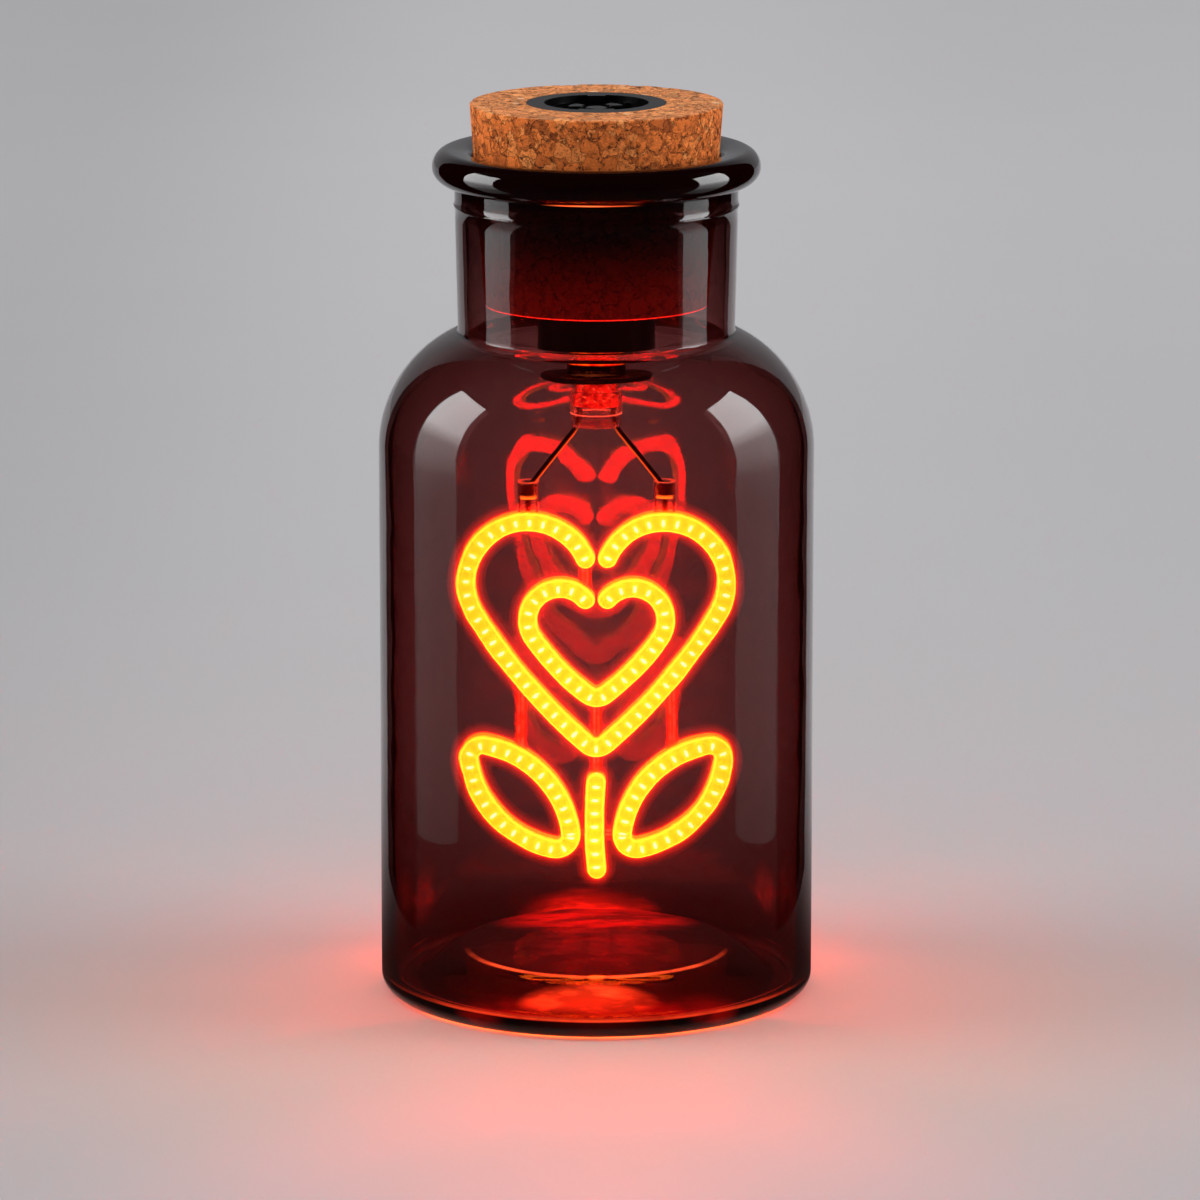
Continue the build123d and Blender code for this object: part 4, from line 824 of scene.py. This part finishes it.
class BOTTLELIGHT_OT_module(bpy.types.Operator):
    """Finish the battery module, its cap, cells, board and lamp socket"""
    bl_idname = "bottle_light.module"
    bl_label = "Finish Battery Module"

    def execute(self, context):
        black = hard_plastic("moulded_black", (0.002, 0.002, 0.0022), 0.30, 3000.0, 0.08)
        dress(black, "battery_housing", "housing_end_cap", "battery_carrier")
        socket = hard_plastic("socket_black", (0.006, 0.003, 0.003), 0.25)
        tree, shader = socket.node_tree, socket.node_tree.nodes["Principled BSDF"]
        where = place(tree)
        level = node(tree, "ShaderNodeSeparateXYZ", {0: where}).outputs[2]
        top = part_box("lamp_socket")[1].z
        # Painted light: emission in a band round the socket's neck, brighter in patches, for the sign's light.
        neck = maths(tree, "MULTIPLY", spread(tree, level, top - 0.0052, top - 0.0044),
                     spread(tree, level, top - 0.0020, top - 0.0006, 1.0, 0.0))
        patch = spread(tree, clouds(tree, where, 260.0, 2.0, 0.5), 0.40, 0.60)
        painted_hot_glow = blend(tree, patch, (6.0, 0.10, 0.02), (16.0, 1.5, 0.05))
        tree.links.new(blend(tree, neck, (0.0, 0.0, 0.0), painted_hot_glow), shader.inputs["Emission Color"])
        shader.inputs["Emission Strength"].default_value = 1.0
        dress(socket, "lamp_socket")
        dress(hard_plastic("cap_black", (0.002, 0.002, 0.0022), 0.22, 4200.0, 0.05), "battery_cap")
        dress(hard_plastic("button_black", (0.003, 0.003, 0.0032), 0.16, 5200.0, 0.05), "power_button")
        dress(hard_plastic("switch_grey", (0.06, 0.06, 0.07), 0.4), "switch_body", "driver_chip", "board_components")
        dress(drawn_metal("bright_brass", (0.78, 0.55, 0.22), 0.4), "contact_strip", "cap_contact_plate",
              "cap_contact_ring", "carrier_contacts", "cell_contacts", "board_contact", "socket_nut")
        nickel = drawn_metal("nickel_wire", (0.62, 0.61, 0.60), 0.2)
        dress(nickel, "cell_springs")
        self.build_return_spring(nickel)
        dress(hard_plastic("cell_wrap", (0.05, 0.06, 0.09), 0.22, 6000.0, 0.1), "battery_1", "battery_2", "battery_3")
        dress(hard_plastic("board_green", (0.02, 0.13, 0.05), 0.32, 2400.0, 0.2), "driver_board")
        return {"FINISHED"}

    def build_return_spring(self, material):
        """Coil under the button."""
        low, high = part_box("button_spring")
        middle = (low + high) / 2
        wire_r, turns, travel = 0.00015, 3.0, 0.0008
        coil_r = (high.x - low.x) / 2 - wire_r
        rise = high.z - low.z - 2 * wire_r
        points = []
        for step in range(145):
            share = step / 144
            turn = math.tau * turns * share
            points.append(Vector((
                middle.x + coil_r * math.cos(turn), middle.y + coil_r * math.sin(turn), low.z + wire_r + rise * share,
            )))
        spring = mesh_piece(
            "return_spring", wire_mesh(points, wire_r), "cap", material, ["button_spring"],
        )
        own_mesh(spring)


# Stub, leads and end sleeves

class BOTTLELIGHT_OT_hanger(bpy.types.Operator):
    """Finish the clear stub, the leads and the sleeves that carry the sign"""
    bl_idname = "bottle_light.hanger"
    bl_label = "Finish Hanger"

    def execute(self, context):
        tubes = ("stub_sleeve", "stub_collar", "left_end_sleeve", "right_end_sleeve")
        rims = [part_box(tube)[1].z for tube in tubes[1:3]]
        dress(clear_plastic("clear_sleeve", (1.0, 0.93, 0.92), 0.03, rims), *tubes)
        dress(painted_glow_resin(), "stub_resin")
        dress(painted_underside_glow("lead_cover", (0.02, 0.006, 0.005), (5.0, 0.85, 0.07), 0.10, 0.75), "left_lead", "right_lead")
        plug = hard_plastic("plug_rubber", (0.02, 0.005, 0.004), 0.35, 2600.0, 0.1)
        tree, shader = plug.node_tree, plug.node_tree.nodes["Principled BSDF"]
        level = node(tree, "ShaderNodeSeparateXYZ", {0: place(tree)}).outputs[2]
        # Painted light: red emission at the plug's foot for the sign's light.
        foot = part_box("left_end_plug")[0].z
        lit = spread(tree, level, foot + 0.0002, foot + 0.0011, 1.0, 0.0)
        tree.links.new(blend(tree, lit, (0.0, 0.0, 0.0), (9.0, 1.6, 0.12)), shader.inputs["Emission Color"])
        shader.inputs["Emission Strength"].default_value = 1.0
        dress(plug, "left_end_plug", "right_end_plug")
        return {"FINISHED"}


# Sign

def direction(start, end):
    return math.atan2(end[1] - start[1], end[0] - start[0])


def shared_centre(first, first_r, second, second_r, radius):
    """Centre of a large arc that wraps two circles, on the left of the line between them."""
    near, far = radius - first_r, radius - second_r
    gap = math.dist(first, second)
    along = (near ** 2 - far ** 2 + gap ** 2) / (2 * gap)
    across = math.sqrt(near ** 2 - along ** 2)
    line = direction(first, second)
    return (
        first[0] + along * math.cos(line) + across * math.sin(line),
        first[1] + along * math.sin(line) - across * math.cos(line),
    )


def sweep_points(arcs, step):
    """Points along joined arcs, each given as its centre, radius, start and end angle in radians."""
    points = []
    for centre, radius, start, end in arcs:
        count = max(4, int(abs(end - start) * radius / step))
        for index in range(0 if not points else 1, count + 1):
            angle = start + (end - start) * index / count
            points.append(Vector((centre[0] + radius * math.cos(angle), 0.0, centre[1] + radius * math.sin(angle))))
    return points


def heart_arcs(half_width, top, bottom, cleft, bend=3.6):
    lobe_r = 0.477 * half_width
    lobe, tip = (half_width - lobe_r, top - lobe_r), (0.0, bottom + bend)
    side_r = 3.4 * math.dist(lobe, tip)
    side = shared_centre(lobe, lobe_r, tip, bend, side_r)
    start = math.acos((cleft - lobe[0]) / lobe_r)
    lobe_end, tip_end = direction(side, lobe), direction(side, tip)
    right = [(lobe, lobe_r, start, lobe_end), (side, side_r, lobe_end, tip_end)]
    left = [((-centre[0], centre[1]), radius, math.pi - end, math.pi - first) for centre, radius, first, end in right]
    return right + [(tip, bend, tip_end, -math.pi - tip_end)] + left[::-1]


def leaf_arcs(side, low, high, half_width=8.0, bend=3.6):
    """Closed leaf between its base and its tip, mirrored for the left side."""
    half_gap = math.dist(low, high) / 2
    long_r = (half_width ** 2 + half_gap ** 2 - bend ** 2) / (2 * (half_width - bend))
    offset = long_r - half_width
    line = direction(low, high)
    middle = ((low[0] + high[0]) / 2, (low[1] + high[1]) / 2)
    upper = (middle[0] + offset * math.sin(line), middle[1] - offset * math.cos(line))
    lower = (middle[0] - offset * math.sin(line), middle[1] + offset * math.cos(line))
    upper_low, upper_high = direction(upper, low) % math.tau, direction(upper, high) % math.tau
    lower_high, lower_low = direction(lower, high), direction(lower, low)
    arcs = [
        (upper, long_r, upper_low, upper_high),
        (high, bend, upper_high, lower_high),
        (lower, long_r, lower_high, lower_low),
        (low, bend, lower_low, upper_low - math.tau),
    ]
    if side > 0:
        return arcs
    return [((-centre[0], centre[1]), radius, math.pi - first, math.pi - end) for centre, radius, first, end in arcs]


def tube_section(width, front, back, corner):
    """D section as (across, depth) points, with depth growing to the back."""
    half = width / 2
    points = []
    for step in range(33):
        angle = math.pi - math.pi * step / 32
        points.append((half * math.cos(angle), -(front - half) - half * math.sin(angle)))
    points += [(half, y) for y in (-(front - half) * 0.4, 0.0, (back - corner) * 0.6)]
    for step in range(5):
        angle = math.pi / 2 * step / 4
        points.append((half - corner + corner * math.cos(angle), back - corner + corner * math.sin(angle)))
    points += [(x, back) for x in (half * 0.5, 0.0, -half * 0.5)]
    for step in range(5):
        angle = math.pi / 2 + math.pi / 2 * step / 4
        points.append((-half + corner + corner * math.cos(angle), back - corner + corner * math.sin(angle)))
    points += [(-half, y) for y in ((back - corner) * 0.6, 0.0, -(front - half) * 0.4)]
    return points


def tube_mesh(points, closed, section):
    """Sweeps the section along points in millimetres and stores run, across and depth on each vertex."""
    shape = bmesh.new()
    layers = [shape.verts.layers.float.new(name) for name in ("run", "across", "depth")]
    front = min(depth for _, depth in section)
    if closed and (points[0] - points[-1]).length < 1e-4:
        points = points[:-1]
    count = len(points)
    runs = [0.0]
    for first, second in zip(points, points[1:]):
        runs.append(runs[-1] + (second - first).length)
    rings = []

    def add_ring(centre, along, run_mm, turn=0.0, sign=0.0):
        side = along.cross(Vector((0.0, 1.0, 0.0)))
        ring = []
        for across, depth in section:
            shift = abs(across) * math.sin(turn) * sign
            place_mm = centre + side * (across * math.cos(turn)) + along * shift + Vector((0.0, depth, 0.0))
            vertex = shape.verts.new(place_mm * MM)
            values = ((run_mm + shift) * MM, across * MM, (depth - front) * MM)
            for layer, value in zip(layers, values):
                vertex[layer] = value
            ring.append(vertex)
        rings.append(ring)

    directions = []
    for index in range(count):
        before = points[(index - 1) % count] if closed or index > 0 else points[index]
        after = points[(index + 1) % count] if closed or index < count - 1 else points[index]
        directions.append((after - before).normalized())
    if not closed:
        for step in range(8, 0, -1):
            add_ring(points[0], directions[0], 0.0, math.pi / 2 * step / 8, -1.0)
    for index in range(count):
        add_ring(points[index], directions[index], runs[index])
    if not closed:
        for step in range(1, 9):
            add_ring(points[-1], directions[-1], runs[-1], math.pi / 2 * step / 8, 1.0)
    pairs = list(zip(rings, rings[1:]))
    if closed:
        pairs.append((rings[-1], rings[0]))
    size = len(section)
    for low, high in pairs:
        for index in range(size):
            after = (index + 1) % size
            shape.faces.new((low[index], low[after], high[after], high[index]))
    bmesh.ops.remove_doubles(shape, verts=shape.verts, dist=2e-6)
    return shape, runs[-1]


class BOTTLELIGHT_OT_sign(bpy.types.Operator):
    """Sweep the luminous tubes of the heart, stem and leaves"""
    bl_idname = "bottle_light.sign"
    bl_label = "Build Sign"

    def execute(self, context):
        settings = context.scene.bottle_light_sign
        low, height = SIGN_LOW_Z / MM, (SIGN_HIGH_Z - SIGN_LOW_Z) / MM
        radius = settings.width / MM / 2
        top = SIGN_HIGH_Z / MM - radius
        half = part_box("heart_tube")[1].x / MM - radius
        inner = 0.532 * half
        tip_x = 0.985 * half - 3.6
        leaf = ((2 * radius + 1.5 + 3.6, low + 0.12 * height), (tip_x, low + 0.33 * height))
        stem_top, stem_low = low + 0.266 * height, low + radius
        stem_half, bow = (stem_top - stem_low) / 2, 0.5
        stem_r = (stem_half ** 2 + bow ** 2) / (2 * bow)
        stem_turn = math.asin(stem_half / stem_r)
        stem_centre = (stem_r - bow, (stem_top + stem_low) / 2)
        paths = {
            "heart": (heart_arcs(half, top, low + 0.361 * height, radius + 0.3), False),
            "inner_heart": (heart_arcs(inner, low + 0.795 * height, low + 0.497 * height, radius + 0.3), False),
            "stem": ([(stem_centre, stem_r, math.pi - stem_turn, math.pi + stem_turn)], False),
            "left_leaf": (leaf_arcs(-1, *leaf), True),
            "right_leaf": (leaf_arcs(1, *leaf), True),
        }
        front, back = 0.84 * settings.width / MM, 0.36 * settings.width / MM
        section = tube_section(settings.width / MM, front, back, 0.6)
        for name, (arcs, closed) in paths.items():
            shape, total = tube_mesh(sweep_points(arcs, 0.6), closed, section)
            usable = total - 3.0
            chips = int(usable / (settings.pitch / MM))
            first = (total - (chips - 1) * settings.pitch / MM) / 2 * MM
            material = glowing_silicone(name + "_glow", settings, first, 0.00100)
            piece = mesh_piece(
                name + "_light", shape, "stopper", material, [name + "_tube"], smooth=40.0,
            )
            piece.visible_diffuse = False
            piece.visible_shadow = False
        dress(hard_plastic("strip_white", (0.8, 0.75, 0.6), 0.4), *[name + "_led_strip" for name in paths])
        self.build_painted_halo(settings, paths)
        return {"FINISHED"}

    def build_painted_halo(self, settings, paths):
        """Painted red glow close round the strokes and fainter ones farther out."""
        hazes = []
        for name, reach, strength in (
            ("close_painted_halo", settings.halo / MM * 0.55, 300.0), ("near_painted_halo", settings.halo / MM * 1.25, 120.0),
            ("wide_painted_halo", settings.wide_halo / MM, 55.0),
        ):
            width = settings.width / MM
            section = tube_section(width + 2 * reach, 0.84 * width + reach, 0.36 * width + reach, 1.6)
            whole = bmesh.new()
            for arcs, closed in paths.values():
                shape, total = tube_mesh(sweep_points(arcs, 0.8), closed, section)
                mesh = bpy.data.meshes.new(name)
                shape.to_mesh(mesh)
                shape.free()
                whole.from_mesh(mesh)
                bpy.data.meshes.remove(mesh)
            haze = mesh_piece(name, whole, "stopper", painted_halo(name, (1.0, 0.03, 0.01), strength))
            remesh = haze.modifiers.new("even", "REMESH")
            remesh.mode = "VOXEL"
            remesh.voxel_size = 0.00045 + 0.03 * reach * MM
            remesh.use_smooth_shade = True
            hazes.append(haze)
        for haze in hazes:
            haze.visible_diffuse = False
            haze.visible_glossy = False
            haze.visible_shadow = False


class BOTTLELIGHT_OT_links(bpy.types.Operator):
    """Finish the clear links between the strokes and their wires"""
    bl_idname = "bottle_light.links"
    bl_label = "Finish Links"

    def execute(self, context):
        names = ["cleft", "inner_tip", "stem", "left_leaf", "right_leaf", "left_side", "right_side"]
        dress(link_plastic(), *[name + "_link" for name in names])
        wire = drawn_metal("tinned_wire", (0.75, 0.55, 0.45), 0.2)
        tree, shader = wire.node_tree, wire.node_tree.nodes["Principled BSDF"]
        # Painted light: the wire's emission, brighter in patches, stands in for glints of the sign's light.
        glints = spread(tree, clouds(tree, place(tree), 600.0, 2.0), 0.35, 0.65)
        tree.links.new(blend(tree, glints, (1.2, 0.06, 0.03), (2.6, 0.55, 0.30)), shader.inputs["Emission Color"])
        shader.inputs["Emission Strength"].default_value = 1.0
        dress(wire, "link_wires")
        return {"FINISHED"}


# Stage

def lamp(name, kind, place_m, energy, tint, aim=None, **settings):
    data = bpy.data.lights.new(name, kind)
    data.energy = energy
    data.color = tint
    for key, value in settings.items():
        setattr(data, key, value)
    made = bpy.data.objects.new(name, data)
    made.location = place_m
    if aim is not None:
        made.rotation_euler = (Vector(aim) - Vector(place_m)).to_track_quat("-Z", "Y").to_euler()
    bpy.context.scene.collection.objects.link(made)
    return made


def upright(name, first, second, low, high, material):
    """Upright panel between two places on the floor, seen only by glass and gloss."""
    shape = bmesh.new()
    corners = [(*first, low), (*second, low), (*second, high), (*first, high)]
    shape.faces.new([shape.verts.new(corner) for corner in corners])
    panel = mesh_piece(name, shape, None, material)
    panel.visible_camera = False
    panel.visible_diffuse = False
    panel.visible_shadow = False
    panel.visible_volume_scatter = False
    return panel


def panel_light():
    """Softbox face: dim near the floor, hottest at a third of its height."""
    material, tree, shader = new_material("softbox_face")
    height = node(tree, "ShaderNodeSeparateXYZ", {0: place(tree)}).outputs[2]
    ramp = node(tree, "ShaderNodeValToRGB", {0: spread(tree, height, 0.0, 0.6, 0.0, 1.0, "LINEAR")})
    stops = ramp.color_ramp.elements
    marks = ((0.0, 0.03), (0.16, 0.06), (0.22, 0.16), (0.30, 0.26), (0.36, 0.80), (0.56, 0.95))
    stops[0].position, stops[0].color = marks[0][0], (marks[0][1],) * 3 + (1.0,)
    stops[1].position, stops[1].color = marks[-1][0], (marks[-1][1],) * 3 + (1.0,)
    for position, value in marks[1:-1]:
        stops.new(position).color = (value, value, value, 1.0)
    glow = node(tree, "ShaderNodeEmission", {"Color": ramp.outputs["Color"], "Strength": 8.0})
    tree.links.new(glow.outputs[0], tree.nodes["Material Output"].inputs["Surface"])
    material.cycles.emission_sampling = "NONE"
    return material


def plain_black():
    material, tree, shader = new_material("black_card")
    shader.inputs["Base Color"].default_value = (0.004, 0.004, 0.004, 1.0)
    shader.inputs["Roughness"].default_value = 1.0
    shader.inputs["Specular IOR Level"].default_value = 0.0
    return material


def paper_floor(settings):
    material, tree, shader = new_material("grey_paper")
    where = place(tree)
    cloud = clouds(tree, where, 9.0, 3.0, 0.5)
    fibre = clouds(tree, where, 900.0, 2.0, 0.5)
    base = tuple(settings.floor)
    tint = blend(tree, spread(tree, cloud, 0.3, 0.7), tuple(part * 0.996 for part in base), tuple(part * 1.004 for part in base))
    flat = node(tree, "ShaderNodeSeparateXYZ", {0: where})
    across, reach = flat.outputs[0], flat.outputs[1]
    # Painted light and shade: the floor is brighter towards the back and darker towards the sides, more on the left.
    level = maths(tree, "MULTIPLY", spread(tree, reach, -0.05, 1.5, 0.93, 1.62), spread(tree, across, -0.24, -0.05, 0.84, 1.0))
    level = maths(tree, "MULTIPLY", level, spread(tree, across, 0.05, 0.22, 1.0, 0.95))
    radius = maths(tree, "SQRT", maths(tree, "ADD", maths(tree, "POWER", across, 2.0), maths(tree, "POWER", reach, 2.0)))
    # Painted reflection: seen in gloss, the floor is darkened except behind the bottle and right under its foot.
    mirrored = maths(tree, "MAXIMUM", spread(tree, radius, 0.052, 0.060, 1.0, 0.05), spread(tree, reach, -0.02, 0.3, 0.0, 1.1))
    glossy = node(tree, "ShaderNodeLightPath").outputs["Is Glossy Ray"]
    dimmed = maths(tree, "ADD", maths(tree, "MULTIPLY", glossy, mirrored), maths(tree, "SUBTRACT", 1.0, glossy))
    level = maths(tree, "MULTIPLY", level, dimmed)
    # Painted light: near the bottle, most in front of it, the floor is tinted warmer with less blue, for the sign's
    # glow.
    near = maths(tree, "MULTIPLY", spread(tree, radius, 0.05, 0.26, 0.8, 0.0), spread(tree, reach, -0.02, 0.08, 1.0, 0.3))
    tint = blend(tree, near, tint, tuple(part * share for part, share in zip(base, (1.0, 0.99, 0.84))))
    tint = node(tree, "ShaderNodeHueSaturation", {"Color": tint, "Value": level}).outputs["Color"]
    tree.links.new(tint, shader.inputs["Base Color"])
    shader.inputs["Roughness"].default_value = 0.85
    shader.inputs["Specular IOR Level"].default_value = 0.2
    relief(tree, shader, fibre, 0.0001, 0.2)
    return material


class BOTTLELIGHT_OT_stage(bpy.types.Operator):
    """Set the paper floor, the softboxes, the sign's own light and the camera"""
    bl_idname = "bottle_light.stage"
    bl_label = "Set Stage"

    def execute(self, context):
        settings = context.scene.bottle_light_stage
        scene = context.scene
        shape = bmesh.new()
        bmesh.ops.create_grid(shape, x_segments=8, y_segments=8, size=6.0)
        floor = mesh_piece("paper_floor", shape, None, paper_floor(settings))

        world = bpy.data.worlds.new("studio")
        scene.world = world
        world.use_nodes = True
        tree = world.node_tree
        path = node(tree, "ShaderNodeLightPath")
        facing = node(tree, "ShaderNodeSeparateXYZ", {0: node(tree, "ShaderNodeTexCoord").outputs["Generated"]})
        level = spread(tree, maths(tree, "ABSOLUTE", facing.outputs[2]), 0.3, 0.8, 1.0, 0.04)
        behind = maths(tree, "MULTIPLY", spread(tree, facing.outputs[1], -0.2, 0.6), level)
        mirrored = blend(tree, behind, (0.012, 0.012, 0.013), (0.27, 0.27, 0.28))
        tint = blend(tree, path.outputs["Is Glossy Ray"], (0.62, 0.62, 0.63), mirrored)
        tree.links.new(tint, tree.nodes["Background"].inputs["Color"])

        face, card = panel_light(), plain_black()
        for side, label in ((-1, "left"), (1, "right")):
            upright(label + "_softbox_face", (side * 0.22, -0.078), (side * 0.22, 0.034), 0.001, 0.327, face)
            upright(label + "_black_card", (side * 0.12, 0.0), (side * 0.12, 0.098), 0.001, 0.5, card)
            box = lamp(
                label + "_softbox", "AREA", (side * 0.8, -0.05, 0.55), 5.0, (1.0, 1.0, 1.0), (0.0, 0.0, 0.12),
                shape="RECTANGLE", size=0.5, size_y=0.9,
            )
            box.visible_glossy = False
            box.visible_transmission = False

        red = (1.0, 0.045, 0.0)
        for index, (x, y, z, share) in enumerate((
            (0.0, -0.004, 0.112, 0.6), (-0.016, -0.004, 0.075, 0.45), (0.016, -0.004, 0.075, 0.45),
            (0.0, -0.006, 0.040, 0.9), (-0.046, 0.024, 0.020, 0.10), (0.046, 0.024, 0.020, 0.10),
            (0.0, -0.034, 0.020, 0.30),
        )):
            glow = lamp(
                "sign_glow_" + str(index + 1), "POINT", (x, y, z), settings.glow * share, red,
                shadow_soft_size=0.008,
            )
            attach(glow, "stopper")
            glow.visible_camera = glow.visible_glossy = glow.visible_transmission = False
        beam = lamp(
            "sign_beam", "SPOT", (0.0, -0.02, 0.10), settings.glow * 5.6, red, (0.0, -0.19, 0.0),
            spot_size=math.radians(72.0), spot_blend=1.0, shadow_soft_size=0.02,
        )
        reach = lamp(
            "sign_reach", "SPOT", (0.0, -0.02, 0.10), settings.glow * 8.0, red, (0.0, -0.31, 0.0),
            spot_size=math.radians(34.0), spot_blend=1.0, shadow_soft_size=0.02,
        )
        for made in (beam, reach):
            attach(made, "stopper")
            made.visible_camera = made.visible_glossy = made.visible_transmission = False

        camera = bpy.data.cameras.new("camera")
        camera.sensor_width = 36.0
        camera.lens = settings.lens
        camera.clip_end = 20.0
        view = bpy.data.objects.new("camera", camera)
        scene.collection.objects.link(view)
        lift = settings.elevation
        view.location = (
            0.0009, -settings.distance * math.cos(lift), 0.10067 + settings.distance * math.sin(lift),
        )
        view.rotation_euler = (math.pi / 2 - lift, 0.0, 0.0)
        scene.camera = view
        scene.view_settings.view_transform = "Standard"
        return {"FINISHED"}


class BOTTLELIGHT_PT_panel(bpy.types.Panel):
    """Lists the pieces of the bottle light"""
    bl_idname = "BOTTLELIGHT_PT_panel"
    bl_label = "Bottle Light"
    bl_space_type = "VIEW_3D"
    bl_region_type = "UI"
    bl_category = "Bottle Light"

    def draw(self, context):
        for operator in OPERATORS:
            self.layout.operator(operator.bl_idname)
        for group in ("bottle_light_bottle", "bottle_light_cork", "bottle_light_sign", "bottle_light_stage"):
            column = self.layout.box().column()
            settings = getattr(context.scene, group)
            for key in settings.__annotations__:
                column.prop(settings, key)


OPERATORS = (
    BOTTLELIGHT_OT_bottle,
    BOTTLELIGHT_OT_cork,
    BOTTLELIGHT_OT_module,
    BOTTLELIGHT_OT_hanger,
    BOTTLELIGHT_OT_sign,
    BOTTLELIGHT_OT_links,
    BOTTLELIGHT_OT_stage,
)
GROUPS = {
    "bottle_light_bottle": BottleSettings,
    "bottle_light_cork": CorkSettings,
    "bottle_light_sign": SignSettings,
    "bottle_light_stage": StageSettings,
}


def register():
    for group in GROUPS.values():
        bpy.utils.register_class(group)
    for name, group in GROUPS.items():
        setattr(bpy.types.Scene, name, bpy.props.PointerProperty(type=group))
    for operator in OPERATORS:
        bpy.utils.register_class(operator)
    bpy.utils.register_class(BOTTLELIGHT_PT_panel)


def unregister():
    bpy.utils.unregister_class(BOTTLELIGHT_PT_panel)
    for operator in reversed(OPERATORS):
        bpy.utils.unregister_class(operator)
    for name in GROUPS:
        delattr(bpy.types.Scene, name)
    for group in reversed(GROUPS.values()):
        bpy.utils.unregister_class(group)


def main():
    register()
    build_wear_group()
    build_drawn_group()
    steps = bpy.ops.bottle_light
    steps.bottle()
    steps.cork()
    steps.module()
    steps.hanger()
    steps.sign()
    steps.links()
    steps.stage()


if __name__ == "__main__":
    main()
